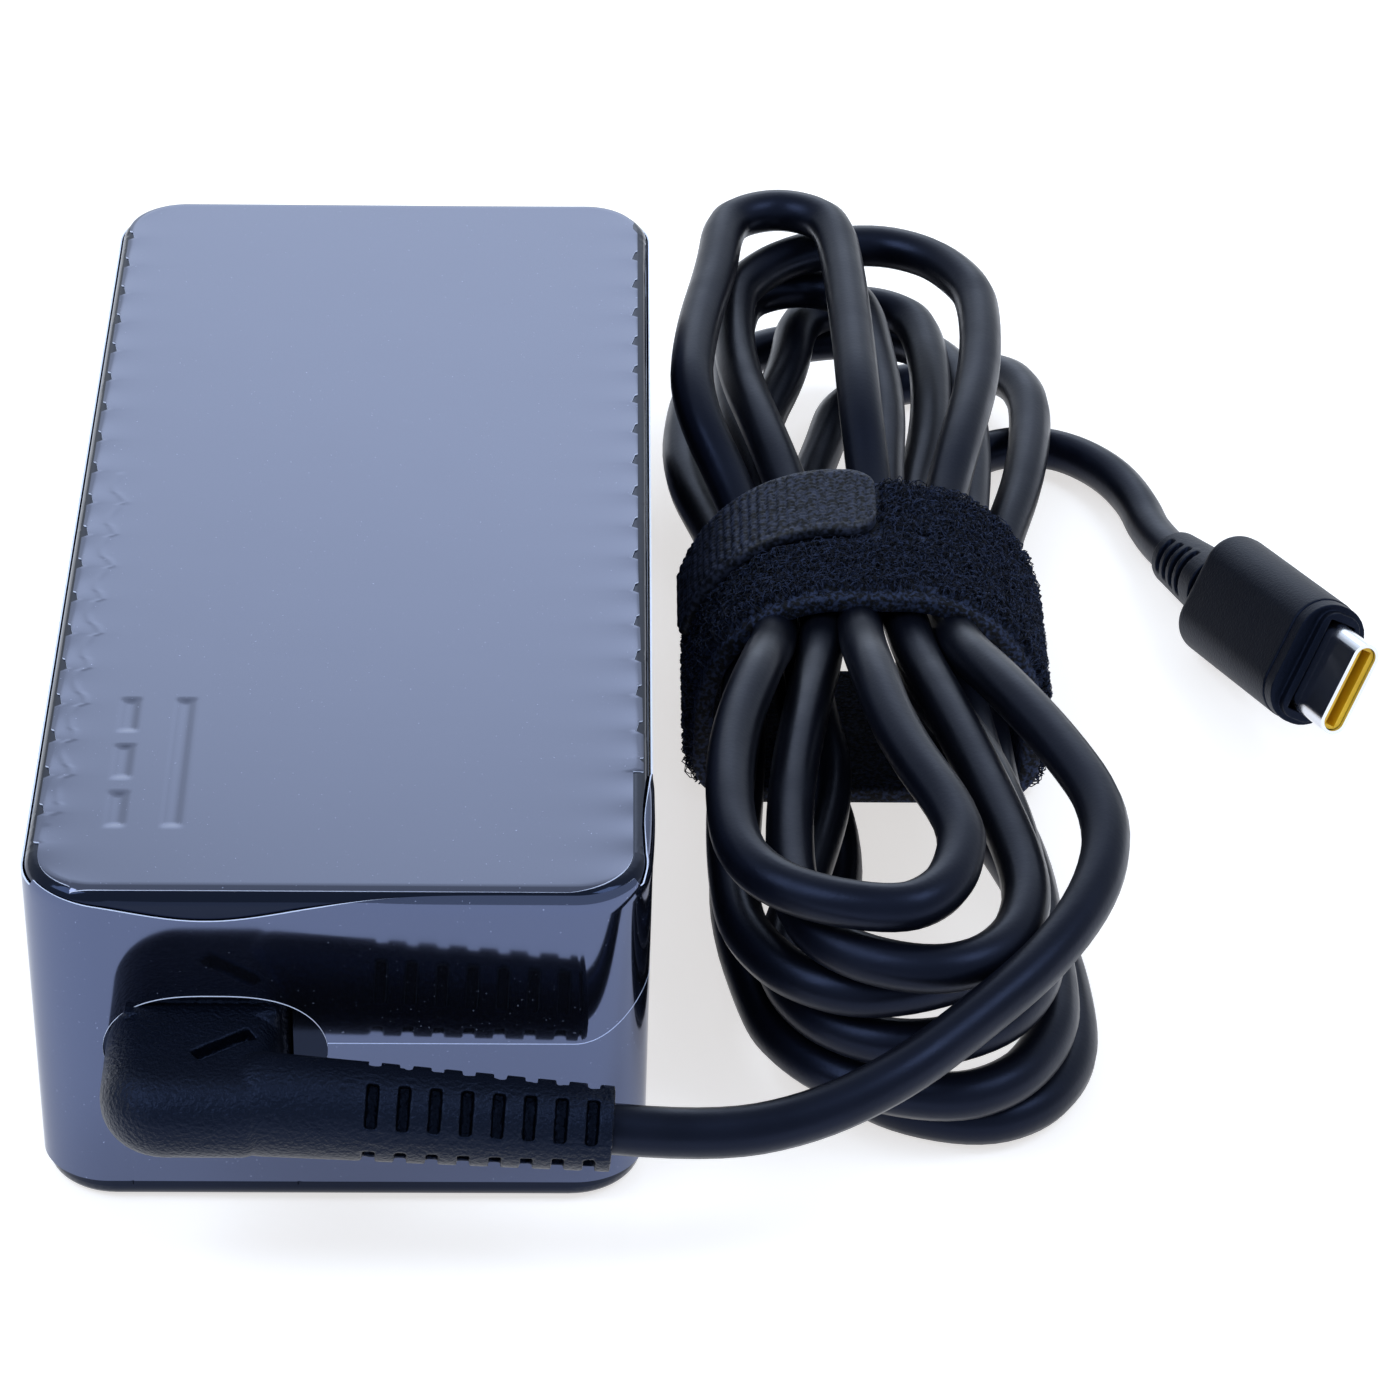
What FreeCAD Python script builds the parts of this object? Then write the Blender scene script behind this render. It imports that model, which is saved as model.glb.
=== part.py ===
import FreeCAD, Part
import Sketcher
import math
import os
import re

# A 65 W laptop power adapter: a welded two-part case with its circuit inside, an AC inlet at the
# far end (+Y), a right-angle strain relief at the near end (-Y), and a coiled DC lead with a
# hook-and-loop tie and a USB-C plug.  Millimetres, +Z up, origin at the middle of the underside.

os.makedirs("parts", exist_ok=True)
doc = FreeCAD.newDocument("laptop_power_adapter")
Vector = FreeCAD.Vector
Rotation = FreeCAD.Rotation

# ---------------------------------------------------------------------------------------------
# Driving dimensions
# ---------------------------------------------------------------------------------------------
SIZES = {
    # case
    "case_width": 45.2, "case_length": 106.4, "case_height": 28.5, "case_wall": 2.0,
    "case_corner": 5.5, "case_draft": 1.0, "case_seam": 3.0, "top_round": 1.1,
    "bottom_round": 1.2, "case_floor": 1.6, "lip_gap": 0.1, "lip_high": 1.5, "film_thick": 0.15,
    # the slot in the near wall that the strain relief drops into, and its filler panel
    "slot_left": -15.8, "slot_right": -3.3, "slot_top": 19.2, "boot_bottom": 11.6,
    # right-angle strain relief
    "boot_out": 11.85, "boot_round": 3.2, "boot_corner": 5.0,
    "arm_root_dia": 7.7, "arm_end_dia": 6.3,
    "rib_pitch": 2.3, "rib_wide": 0.9, "rib_deep": 1.45, "rib_long": 3.3,
    # AC inlet
    "inlet_width": 20.0, "inlet_high": 12.0, "inlet_depth": 15.0, "inlet_level": 15.0,
    "lobe_dia": 8.2, "lobe_half": 3.9, "waist_high": 6.8, "cavity_deep": 10.5,
    "pin_dia": 2.4, "pin_half": 4.3, "pin_recess": 1.4,
    # circuit
    "board_width": 39.0, "board_length": 86.0, "board_thick": 1.6, "board_level": 5.0,
    # cord
    "cord_dia": 3.8, "hank_high": 24.0, "hank_round": 4.5,
    # hook-and-loop tie
    "tie_left": 27.0, "tie_right": 56.0, "tie_near": 0.5, "tie_width": 18.5,
    "tie_top": 20.5, "tie_thick": 1.6, "tie_crown": 12.0, "tie_foot": 4.0,
    "tab_width": 9.5, "tab_thick": 1.2, "tab_gap": 0.3, "tab_sweep": 78.0, "tab_flat": 3.2,
    # plug
    "plug_width": 11.0, "plug_thick": 6.4, "plug_length": 20.4, "plug_round": 3.0,
    "collar_thick": 1.4, "rim_thick": 0.8, "shell_width": 8.25, "shell_thick": 2.4,
    "shell_out": 6.4, "shell_in": 6.8, "shell_wall": 0.3, "relief_length": 9.6,
    "relief_front": 6.3, "relief_back": 5.0,
}

sheet = doc.addObject("Spreadsheet::Sheet", "Sizes")
for row, (word, value) in enumerate(SIZES.items(), start=1):
    sheet.set("A%d" % row, word)
    sheet.set("B%d" % row, str(value))
    sheet.setAlias("B%d" % row, word)
doc.recompute()

subparts = []


def text(words):
    """An expression in which every word that names a cell points at the sheet."""
    return re.sub(r"[a-z_]+", lambda m: ("Sizes." if m.group() in SIZES else "") + m.group(),
                  str(words))


def value(words):
    """What an expression of the sheet comes to, as a number."""
    result = sheet.evalExpression(text(words))
    return float(getattr(result, "Value", result))


def keep(obj, label):
    """Name an object as one sub-part of the adapter."""
    obj.Label = label
    subparts.append(obj)
    return obj


# ---------------------------------------------------------------------------------------------
# Part primitives whose sizes and places are expressions of the sheet
# ---------------------------------------------------------------------------------------------
AXES = {
    "x": Rotation(Vector(0, 1, 0), 90),
    "y": Rotation(Vector(1, 0, 0), -90),
    "z": Rotation(),
}


def place(obj, base, rotation=Rotation()):
    obj.Placement = FreeCAD.Placement(Vector(), rotation)
    for axis, words in zip("xyz", base):
        obj.setExpression("Placement.Base." + axis, text(words))
    return obj


def box(name, low, extent):
    obj = doc.addObject("Part::Box", name)
    for prop, words in zip(("Length", "Width", "Height"), extent):
        obj.setExpression(prop, text(words))
    return place(obj, low)


def cylinder(name, base, diameter, height, axis="z"):
    obj = doc.addObject("Part::Cylinder", name)
    obj.setExpression("Radius", text("(%s) / 2" % diameter))
    obj.setExpression("Height", text(height))
    return place(obj, base, AXES[axis])


def fuse(name, shapes):
    obj = doc.addObject("Part::MultiFuse", name)
    obj.Shapes = shapes
    return obj


def cut(name, base, tool):
    obj = doc.addObject("Part::Cut", name)
    obj.Base, obj.Tool = base, tool
    return obj


def group(name, shapes):
    """Several separate solids in one node."""
    obj = doc.addObject("Part::Compound", name)
    obj.Links = shapes
    return obj


def edges_along(shape, direction, wanted=None):
    """Numbers of the straight edges along a direction whose middle passes a test."""
    found = []
    for number, edge in enumerate(shape.Edges, start=1):
        if len(edge.Vertexes) < 2:
            continue
        run = edge.Vertexes[1].Point - edge.Vertexes[0].Point
        straight = abs(edge.Length - run.Length) < 1e-4
        if not straight or abs(run.normalize() * direction) < 0.998:
            continue
        if wanted is None or wanted(edge.CenterOfMass):
            found.append(number)
    return found


def edges_at(shape, axis, level):
    """Numbers of the edges that lie wholly in the plane axis = level."""
    found = []
    for number, edge in enumerate(shape.Edges, start=1):
        low = getattr(edge.BoundBox, axis + "Min")
        high = getattr(edge.BoundBox, axis + "Max")
        if abs(low - level) < 1e-4 and abs(high - level) < 1e-4:
            found.append(number)
    return found


def rounded(name, base, rounds):
    """A Part::Fillet.  rounds lists pairs of edge numbers and radius."""
    doc.recompute()
    obj = doc.addObject("Part::Fillet", name)
    obj.Base = base
    obj.Edges = [(number, radius, radius) for numbers, radius in rounds for number in numbers]
    return obj


# ---------------------------------------------------------------------------------------------
# PartDesign bodies
# ---------------------------------------------------------------------------------------------
X_WAY, Y_WAY, Z_WAY = Vector(1, 0, 0), Vector(0, 1, 0), Vector(0, 0, 1)


def new_body(name):
    return doc.addObject("PartDesign::Body", name)


def new_sketch(body, name, role, offset="0"):
    sketch = body.newObject("Sketcher::SketchObject", name)
    plane = [f for f in body.Origin.OriginFeatures if f.Role == role][0]
    sketch.AttachmentSupport = [(plane, "")]
    sketch.MapMode = "FlatFace"
    sketch.setExpression("AttachmentOffset.Base.z", text(offset))
    return sketch


def bind(sketch, kind, elements, name, words):
    """Add one dimension to a sketch and tie it to the sheet."""
    index = sketch.addConstraint(Sketcher.Constraint(kind, *elements, value(words)))
    sketch.renameConstraint(index, name)
    sketch.setExpression("Constraints." + name, text(words))


def rectangle(sketch, low, high, name="side"):
    """A rectangle between two corners, each a pair of expressions of the sheet."""
    (u0, v0), (u1, v1) = [(value(u), value(v)) for u, v in (low, high)]
    corners = [Vector(u0, v0), Vector(u1, v0), Vector(u1, v1), Vector(u0, v1)]
    lines = [sketch.addGeometry(Part.LineSegment(corners[i], corners[(i + 1) % 4]))
             for i in range(4)]
    for i in range(4):
        sketch.addConstraint(Sketcher.Constraint("Coincident", lines[i], 2, lines[(i + 1) % 4], 1))
        way = "Horizontal" if i % 2 == 0 else "Vertical"
        sketch.addConstraint(Sketcher.Constraint(way, lines[i]))
    for kind, corner, words in (("DistanceX", 0, low[0]), ("DistanceY", 0, low[1]),
                                ("DistanceX", 2, high[0]), ("DistanceY", 2, high[1])):
        label = "%s%d%s" % (name, corner, kind[-1])
        bind(sketch, kind, (-1, 1, lines[corner], 1), label, words)


def circle(sketch, centre, diameter, name="ring"):
    middle = Vector(value(centre[0]), value(centre[1]))
    ring = sketch.addGeometry(Part.Circle(middle, Z_WAY, value(diameter) / 2))
    bind(sketch, "Diameter", (ring,), name + "D", diameter)
    bind(sketch, "DistanceX", (-1, 1, ring, 3), name + "X", centre[0])
    bind(sketch, "DistanceY", (-1, 1, ring, 3), name + "Y", centre[1])


def feature(body, kind, name, sketch, **settings):
    """A Pad, Pocket or Revolution.  Settings that are words become expressions."""
    obj = body.newObject("PartDesign::" + kind, name)
    obj.Profile = sketch
    for prop, words in settings.items():
        if isinstance(words, str) and prop != "Type":
            obj.setExpression(prop, text(words))
        else:
            setattr(obj, prop, words)
    doc.recompute()
    return obj


def round_edges(body, name, numbers, radius):
    """A PartDesign fillet on numbered edges of the body's last feature."""
    last = body.Tip
    obj = body.newObject("PartDesign::Fillet", name)
    obj.Base = (last, ["Edge%d" % number for number in numbers])
    obj.setExpression("Radius", text(radius))
    doc.recompute()
    return obj


# ---------------------------------------------------------------------------------------------
# Case
# ---------------------------------------------------------------------------------------------
DRAFT = "tan(case_draft * 1 deg)"
HALF_WIDE = "case_width / 2 + (%s) * " + DRAFT
HALF_LONG = "case_length / 2 + (%s) * " + DRAFT
NEAR_FACE = "-case_length / 2 - 0.1"
FAR_FACE = "case_length / 2 + inlet_level * " + DRAFT


def case_outline(sketch, level, inset="0", name="side"):
    """The case's drafted outline at one level, moved inwards by inset."""
    wide = "%s - (%s)" % (HALF_WIDE % level, inset)
    long = "%s - (%s)" % (HALF_LONG % level, inset)
    rectangle(sketch, ("-(%s)" % wide, "-(%s)" % long), (wide, long), name)


def case_cover():
    """The upper moulding: roof and four drafted walls, open below."""
    body = new_body("cover")
    outline = new_sketch(body, "cover_outline", "XY_Plane", "case_seam")
    case_outline(outline, "case_seam")
    feature(body, "Pad", "cover_block", outline, Length="case_height - case_seam",
            TaperAngle="case_draft * 1 deg")
    round_edges(body, "cover_corners", edges_along(body.Shape, Z_WAY), "case_corner")
    round_edges(body, "cover_rim", edges_at(body.Shape, "Z", value("case_height")), "top_round")
    hollow = new_sketch(body, "cover_hollow", "XY_Plane", "case_seam")
    case_outline(hollow, "case_seam", "case_wall")
    feature(body, "Pocket", "cover_cavity", hollow, Reversed=True,
            Length="case_height - case_seam - case_wall")
    inlet = new_sketch(body, "cover_inlet", "XZ_Plane", "-case_length / 2 + 5")
    rectangle(inlet, ("-inlet_width / 2 - 0.05", "inlet_level - inlet_high / 2 - 0.05"),
              ("inlet_width / 2 + 0.05", "inlet_level + inlet_high / 2 + 0.05"))
    feature(body, "Pocket", "inlet_opening", inlet, Length="10")
    slot = new_sketch(body, "cover_slot", "XZ_Plane", "case_length / 2 - 5")
    rectangle(slot, ("slot_left", "case_seam - 1"), ("slot_right", "slot_top"))
    feature(body, "Pocket", "boot_slot", slot, Reversed=True, Length="10")
    return keep(body, "case_cover")


def case_base():
    """The lower moulding: floor, rounded bottom edge, weld lip and four posts for the board."""
    body = new_body("base")
    outline = new_sketch(body, "base_outline", "XY_Plane")
    case_outline(outline, "0")
    feature(body, "Pad", "base_block", outline, Length="case_seam",
            TaperAngle="case_draft * 1 deg")
    round_edges(body, "base_corners", edges_along(body.Shape, Z_WAY), "case_corner")
    round_edges(body, "base_rim", edges_at(body.Shape, "Z", 0.0), "bottom_round")
    lip = new_sketch(body, "base_lip", "XY_Plane", "case_seam")
    case_outline(lip, "case_seam", "case_wall + lip_gap")
    feature(body, "Pad", "weld_lip", lip, Length="lip_high")
    hollow = new_sketch(body, "base_hollow", "XY_Plane", "case_floor")
    case_outline(hollow, "case_seam", "case_wall + lip_gap + 1.2")
    feature(body, "Pocket", "base_cavity", hollow, Reversed=True, Length="case_seam + lip_high")
    posts = new_sketch(body, "base_posts", "XY_Plane", "case_floor - 0.2")
    for number, (u, v) in enumerate(((-16, -45), (16, -45), (-16, 33), (16, 33))):
        circle(posts, (str(u), str(v)), "5", "post%d_" % number)
    feature(body, "Pad", "board_posts", posts, Length="board_level - case_floor + 0.2")
    slot = new_sketch(body, "base_slot", "XZ_Plane", "case_length / 2 - case_wall - 2")
    rectangle(slot, ("slot_left", "1.4"), ("slot_right", "case_seam + lip_high + 1"))
    feature(body, "Pocket", "panel_slot", slot, Reversed=True, Length="10")
    return keep(body, "case_base")


def slot_panel():
    """The strip that closes the slot under the strain relief."""
    panel = box("panel", ("slot_left + 0.06", NEAR_FACE, "1.45"),
                ("slot_right - slot_left - 0.12", "case_wall", "boot_bottom - 1.5"))
    return keep(panel, "boot_slot_panel")


def drafted_block(name, low, high, inset):
    """A solid with the case's drafted, round-cornered outline between two levels."""
    body = new_body(name)
    outline = new_sketch(body, name + "_outline", "XY_Plane", low)
    case_outline(outline, low, inset)
    feature(body, "Pad", name + "_pad", outline, Length="%s - (%s)" % (high, low),
            TaperAngle="case_draft * 1 deg")
    round_edges(body, name + "_corners", edges_along(body.Shape, Z_WAY),
                "case_corner - (%s)" % inset)
    return body


def side_film():
    """Clear film wrapped round the walls, cut away round the strain relief and the inlet."""
    outer = drafted_block("wrap_outer", "1.6", "case_height - top_round - 0.3", "-film_thick")
    inner = drafted_block("wrap_inner", "0.6", "case_height + 1", "0")
    cutout = box("wrap_cutout", ("slot_left - 1.7", "-case_length / 2 - 3", "0"),
                 ("slot_right - slot_left + 4.5", "6", "slot_top + 0.4"))
    window = box("wrap_window", ("-inlet_width / 2 - 1", "case_length / 2 - 3",
                                 "inlet_level - inlet_high / 2 - 1"),
                 ("inlet_width + 2", "6", "inlet_high + 2"))
    keep(cut("wrap", outer, fuse("wrap_voids", [inner, cutout, window])), "film_side")


def top_film():
    """Clear film on the roof, a rounded rectangle just inside the rounded rim."""
    body = new_body("top_sheet")
    outline = new_sketch(body, "sheet_outline", "XY_Plane", "case_height")
    case_outline(outline, "case_height", "top_round + 0.3")
    feature(body, "Pad", "sheet_block", outline, Length="film_thick")
    round_edges(body, "sheet_corners", edges_along(body.Shape, Z_WAY), "case_corner - 1")
    return keep(body, "film_top")


# ---------------------------------------------------------------------------------------------
# AC inlet: a two-pin figure-eight socket
# ---------------------------------------------------------------------------------------------
def inlet_housing():
    body = new_body("inlet")
    face = "-(%s)" % FAR_FACE
    outline = new_sketch(body, "inlet_outline", "XZ_Plane", face)
    rectangle(outline, ("-inlet_width / 2", "inlet_level - inlet_high / 2"),
              ("inlet_width / 2", "inlet_level + inlet_high / 2"))
    feature(body, "Pad", "inlet_block", outline, Length="inlet_depth")
    flange = new_sketch(body, "inlet_flange", "XZ_Plane", face + " + case_wall + 0.5")
    rectangle(flange, ("-inlet_width / 2 - 1.8", "inlet_level - inlet_high / 2 - 1.2"),
              ("inlet_width / 2 + 1.8", "inlet_level + inlet_high / 2 + 1.2"))
    feature(body, "Pad", "inlet_stop", flange, Length="1.5")
    waist = new_sketch(body, "inlet_waist", "XZ_Plane", face)
    rectangle(waist, ("-lobe_half", "inlet_level - waist_high / 2"),
              ("lobe_half", "inlet_level + waist_high / 2"))
    feature(body, "Pocket", "cavity_waist", waist, Reversed=True, Length="cavity_deep")
    for side, sign in (("left", "-"), ("right", "")):
        lobe = new_sketch(body, "inlet_lobe_" + side, "XZ_Plane", face)
        circle(lobe, (sign + "lobe_half", "inlet_level"), "lobe_dia")
        feature(body, "Pocket", "cavity_lobe_" + side, lobe, Reversed=True, Length="cavity_deep")
        hole = new_sketch(body, "pin_hole_" + side, "XZ_Plane", face)
        circle(hole, (sign + "pin_half", "inlet_level"), "pin_dia + 0.08")
        feature(body, "Pocket", "pin_bore_" + side, hole, Reversed=True, Length="inlet_depth + 1")
    return keep(body, "inlet_housing")


def inlet_pins():
    pins = [cylinder("pin_" + side, (sign + "pin_half", FAR_FACE + " - inlet_depth - 2.5",
                                     "inlet_level"), "pin_dia",
                     "inlet_depth + 2.5 - pin_recess", "y")
            for side, sign in (("left", "-"), ("right", ""))]
    return keep(group("pins", pins), "inlet_pins")


def inlet_leads():
    """Stiff wires from the pins' tails down to the board."""
    top = "inlet_level - pin_dia / 2 - board_level - board_thick"
    wires = [cylinder("wire_" + side, (sign + "pin_half", FAR_FACE + " - inlet_depth - 1.4",
                                       "board_level + board_thick"), "1.2", top)
             for side, sign in (("left", "-"), ("right", ""))]
    return keep(group("wires", wires), "inlet_leads")


# ---------------------------------------------------------------------------------------------
# Circuit
# ---------------------------------------------------------------------------------------------
ON_BOARD = "board_level + board_thick + 0.05"
BOARD_NEAR = -49.0

# name: lower corner on the board (x, y), height above it, and extent (x, y, z)
BLOCKS = {
    "fuse": ((-18.5, 29.0), 0.0, (8.4, 4.0, 7.7)),
    "x_capacitor": ((-8.6, 26.0), 0.0, (18.0, 7.0, 14.0)),
    "bridge_rectifier": ((3.5, 9.5), 1.0, (15.0, 3.4, 11.0)),
    "primary_transistor": ((12.0, -5.0), 2.0, (3.2, 10.0, 14.5)),
    "primary_heat_sink": ((15.4, -9.0), 0.0, (1.8, 17.0, 17.0)),
    "secondary_transistor": ((9.2, -27.0), 2.0, (2.6, 10.0, 10.0)),
    "secondary_heat_sink": ((12.0, -31.0), 0.0, (1.5, 19.0, 15.0)),
    "optocoupler": ((3.0, -38.5), 0.0, (6.4, 4.6, 3.5)),
    "power_delivery_board": ((15.6, -46.0), 0.0, (1.2, 13.0, 14.0)),
}

# name: list of (base point above the board (x, y, z), diameter, length, axis)
ROUNDS = {
    "bulk_capacitor": [((-18.0, -1.8, 8.2), 16.0, 28.0, "x")],
    "inductor": [((9.0, 19.0, 0.0), 9.0, 11.0, "z")],
    "varistor": [((15.0, 29.0, 5.6), 9.0, 4.0, "y")],
    "y_capacitor": [((16.9, -14.0, 4.1), 6.0, 3.0, "y")],
    "output_capacitors": [((-1.0, -40.5, 0.0), 8.0, 12.0, "z"),
                          ((11.0, -43.5, 0.0), 8.0, 12.0, "z")],
}


def circuit_blocks():
    for name, ((x, y), lift, extent) in BLOCKS.items():
        block = box(name + "_block", (str(x), str(y), ON_BOARD + " + %s" % lift), extent)
        keep(block, name)


def circuit_board():
    low = ("-board_width / 2", str(BOARD_NEAR), "board_level")
    return keep(box("board", low, ("board_width", "board_length", "board_thick")),
                "circuit_board")


def circuit_rounds():
    for name, cans in ROUNDS.items():
        solids = [cylinder("%s_can%d" % (name, number),
                           (str(x), str(y), ON_BOARD + " + %s" % z), diameter, length, axis)
                  for number, ((x, y, z), diameter, length, axis) in enumerate(cans)]
        keep(solids[0] if len(solids) == 1 else group(name + "_pair", solids), name)


def ring(name, base, outer, inner, height):
    bore = cylinder(name + "_bore", (base[0], base[1], base[2] + " - 1"), inner, height + 2)
    return cut(name, cylinder(name + "_disc", base, outer, height), bore)


def mains_choke():
    """A common-mode choke: a ring core lying flat with two windings on opposite sides."""
    x, y = "-8.5", "16.2"
    core = ring("choke_ring", (x, y, ON_BOARD + " + 2.2"), 16.0, 8.0, 7.0)
    keep(core, "choke_core")
    windings = []
    for number, turn in enumerate((0, 180)):
        coil = doc.addObject("Part::Cylinder", "choke_coil%d" % number)
        coil.Radius, coil.Height, coil.Angle = 9.2, 9.8, 130
        place(coil, (x, y, ON_BOARD + " + 0.8"), Rotation(Z_WAY, turn + 25))
        windings.append(coil)
    space = ring("choke_space", (x, y, ON_BOARD + " + 2.1"), 16.2, 7.8, 7.2)
    eye = cylinder("choke_eye", (x, y, ON_BOARD), 5.6, 12.0)
    wound = cut("choke_wound", fuse("choke_coils", windings), fuse("choke_voids", [space, eye]))
    keep(wound, "choke_windings")


TRANSFORMER = ("-5.0", "-22.0")      # middle of the transformer on the board
LEG = 8.0                            # width of the ferrite's centre leg
DEPTH = 12.8                         # how deep the ferrite is, along Y


def centred_box(name, extent, low):
    """A box centred on the transformer's upright axis."""
    corner = ["%s - %s / 2" % (middle, length) for middle, length in zip(TRANSFORMER, extent)]
    return box(name, (corner[0], corner[1], ON_BOARD + " + %s" % low), extent)


def transformer():
    """Ferrite E cores round a bobbin with two flanges, and the taped winding between them."""
    block = centred_box("core_block", (26.0, DEPTH, 17.0), 0.9)
    windows = []
    for side in (-1, 1):
        x = "%s + %s" % (TRANSFORMER[0], side * (LEG / 2 + 2.9) - 2.9)
        windows.append(box("window%d" % (side + 1),
                           (x, TRANSFORMER[1] + " - 15", ON_BOARD + " + 3.9"), (5.8, 30.0, 11.0)))
    keep(cut("core", block, fuse("windows", windows)), "transformer_core")
    flanges = [centred_box("flange%d" % number, (LEG + 11.2, DEPTH + 11.2, 0.8), low)
               for number, low in enumerate((4.0, 14.0))]
    former = centred_box("bobbin_former", (LEG + 1.8, DEPTH + 1.8, 10.4), 4.2)
    hole = centred_box("bobbin_hole", (LEG + 0.2, DEPTH + 0.2, 20.0), 0.0)
    keep(cut("bobbin", fuse("bobbin_solid", flanges + [former]), hole), "transformer_bobbin")
    wound = centred_box("winding_block", (LEG + 10.6, DEPTH + 10.6, 9.0), 4.9)
    core = centred_box("winding_hole", (LEG + 2.0, DEPTH + 2.0, 20.0), 0.0)
    keep(cut("winding", wound, core), "transformer_winding")


def heat_path():
    """Thermal pad on the ferrite, insulating sheet over the parts and a metal spreader."""
    pad = centred_box("pad", (20.0, 12.0, 0.4), 17.95)
    keep(pad, "thermal_pad")
    sheet_low = "case_height - case_wall - 1.4"
    insulation = box("insulation", ("-18.5", "-48", sheet_low), ("37", "84", "0.2"))
    keep(insulation, "insulating_sheet")
    plate = box("spreader", ("-17.5", "-46", sheet_low + " + 0.25"), ("35", "80", "0.8"))
    keep(plate, "heat_spreader")


# ---------------------------------------------------------------------------------------------
# Strain relief at the case
# ---------------------------------------------------------------------------------------------
ARM_START = Vector(-5.0, -61.15, 15.0)
ARM_END = Vector(20.4, -61.5, 13.1)


def strain_relief():
    """A right-angle boot: inner flange, neck in the slot, rounded knob and a slotted arm."""
    flange = box("boot_flange", ("slot_left - 1.2", "-51.2", "boot_bottom - 1.2"),
                 ("slot_right - slot_left + 2.4", "1.4", "slot_top - boot_bottom + 2.2"))
    neck = box("boot_neck", ("slot_left + 0.1", "-53.2", "boot_bottom"),
               ("slot_right - slot_left - 0.2", "3.4", "slot_top - boot_bottom - 0.1"))
    throat = box("boot_throat", ("slot_left + 0.1", "-54.5", "boot_bottom"),
                 ("slot_right - slot_left - 1.0", "2.5", "slot_top - boot_bottom - 0.85"))
    knob_block = box("knob_block", ("slot_left - 1.3", "-case_length / 2 - 0.35 - boot_out",
                                    "boot_bottom + 0.1"),
                     ("slot_right - slot_left + 0.4", "boot_out", "slot_top - boot_bottom - 0.9"))
    doc.recompute()
    shape = knob_block.Shape
    corner = edges_along(shape, Z_WAY, lambda p: p.x < -10 and p.y < -60)
    others = edges_along(shape, X_WAY, lambda p: p.y < -60)
    others += edges_along(shape, Y_WAY, lambda p: p.x < -10)
    far = edges_along(shape, Z_WAY, lambda p: p.x < -10 and p.y > -60)
    shoulder = edges_along(shape, Y_WAY, lambda p: p.x > -10)
    inner_corner = edges_along(shape, Z_WAY, lambda p: p.x > -10 and p.y < -60)
    knob = rounded("knob", knob_block, [(corner, value("boot_corner")),
                                        (others, value("boot_round")), (far, 1.5),
                                        (shoulder, 2.6), (inner_corner, 2.6)])
    arm = doc.addObject("Part::Cone", "arm")
    for prop, words in (("Radius1", "arm_root_dia / 2"), ("Radius2", "arm_end_dia / 2")):
        arm.setExpression(prop, text(words))
    arm.Height = (ARM_END - ARM_START).Length
    turn = Rotation(Z_WAY, ARM_END - ARM_START)
    arm.Placement = FreeCAD.Placement(ARM_START, turn)
    root_ball = doc.addObject("Part::Sphere", "arm_root")
    root_ball.setExpression("Radius", text("arm_root_dia / 2"))
    root_ball.Placement = FreeCAD.Placement(ARM_START, Rotation())
    whole = fuse("boot_solid", [flange, neck, throat, knob, arm, root_ball])
    groove = doc.addObject("Part::Box", "boot_groove")
    groove.Length, groove.Width, groove.Height = 5.0, 1.35, 3.0
    level = value("slot_top") - 2.0
    groove.Placement = FreeCAD.Placement(Vector(-9.73, -60.31, level), Rotation(Z_WAY, 36))
    ribs = fuse("boot_ribs", arm_slots(turn) + [groove])
    keep(cut("boot", whole, ribs), "cord_boot")


def arm_slots(turn):
    """Four rows of slots along the arm, at 45 degrees to its mould's parting plane."""
    slots = []
    first = (ARM_END - ARM_START).Length - 2.0 - 7 * value("rib_pitch")
    for row in range(4):
        roll = Rotation(Z_WAY, 45 + 90 * row)
        for step in range(8):
            slot = doc.addObject("Part::Box", "slot_%d_%d" % (row, step))
            for prop, words in (("Length", "rib_deep + 2"), ("Width", "rib_long"),
                                ("Height", "rib_wide")):
                slot.setExpression(prop, text(words))
            inner = value("arm_end_dia") / 2 - value("rib_deep") + 0.04 * (7 - step)
            local = Vector(inner, -value("rib_long") / 2, first + step * value("rib_pitch"))
            spin = turn.multiply(roll)
            slot.Placement = FreeCAD.Placement(ARM_START + spin.multVec(local), spin)
            slots.append(slot)
    return slots


# ---------------------------------------------------------------------------------------------
# Cord
# ---------------------------------------------------------------------------------------------
def tube(name, points, diameter):
    """A round tube along straight runs joined by the largest tangent arcs that fit."""
    points = [Vector(*point) for point in points]
    edges, start, radii = [], points[0], []
    for before, corner, after in zip(points, points[1:], points[2:]):
        back, ahead = before - corner, after - corner
        shorter = min(back.Length, ahead.Length)
        turn = math.pi - back.getAngle(ahead)
        back.normalize()
        ahead.normalize()
        reach = 0.45 * shorter
        radius = reach / math.tan(turn / 2)
        radii.append(radius)
        enter, leave = corner + back * reach, corner + ahead * reach
        bisector = (back + ahead).normalize()
        centre = corner + bisector * (radius / math.cos(turn / 2))
        middle = centre - bisector * radius
        edges.append(Part.LineSegment(start, enter).toShape())
        edges.append(Part.Arc(enter, middle, leave).toShape())
        start = leave
    edges.append(Part.LineSegment(start, points[-1]).toShape())
    path = Part.Wire(edges)
    way = points[1] - points[0]
    section = Part.Wire([Part.makeCircle(diameter / 2, points[0], way)])
    solid = path.makePipeShell([section], True, False)
    obj = doc.addObject("Part::Feature", name)
    obj.Shape = solid
    expected = math.pi * diameter ** 2 / 4 * path.Length
    print("%s: length %.1f, volume %.1f of %.1f, radii %s" % (
        name, path.Length, solid.Volume, expected, ", ".join("%.0f" % r for r in radii)))
    return obj


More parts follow.
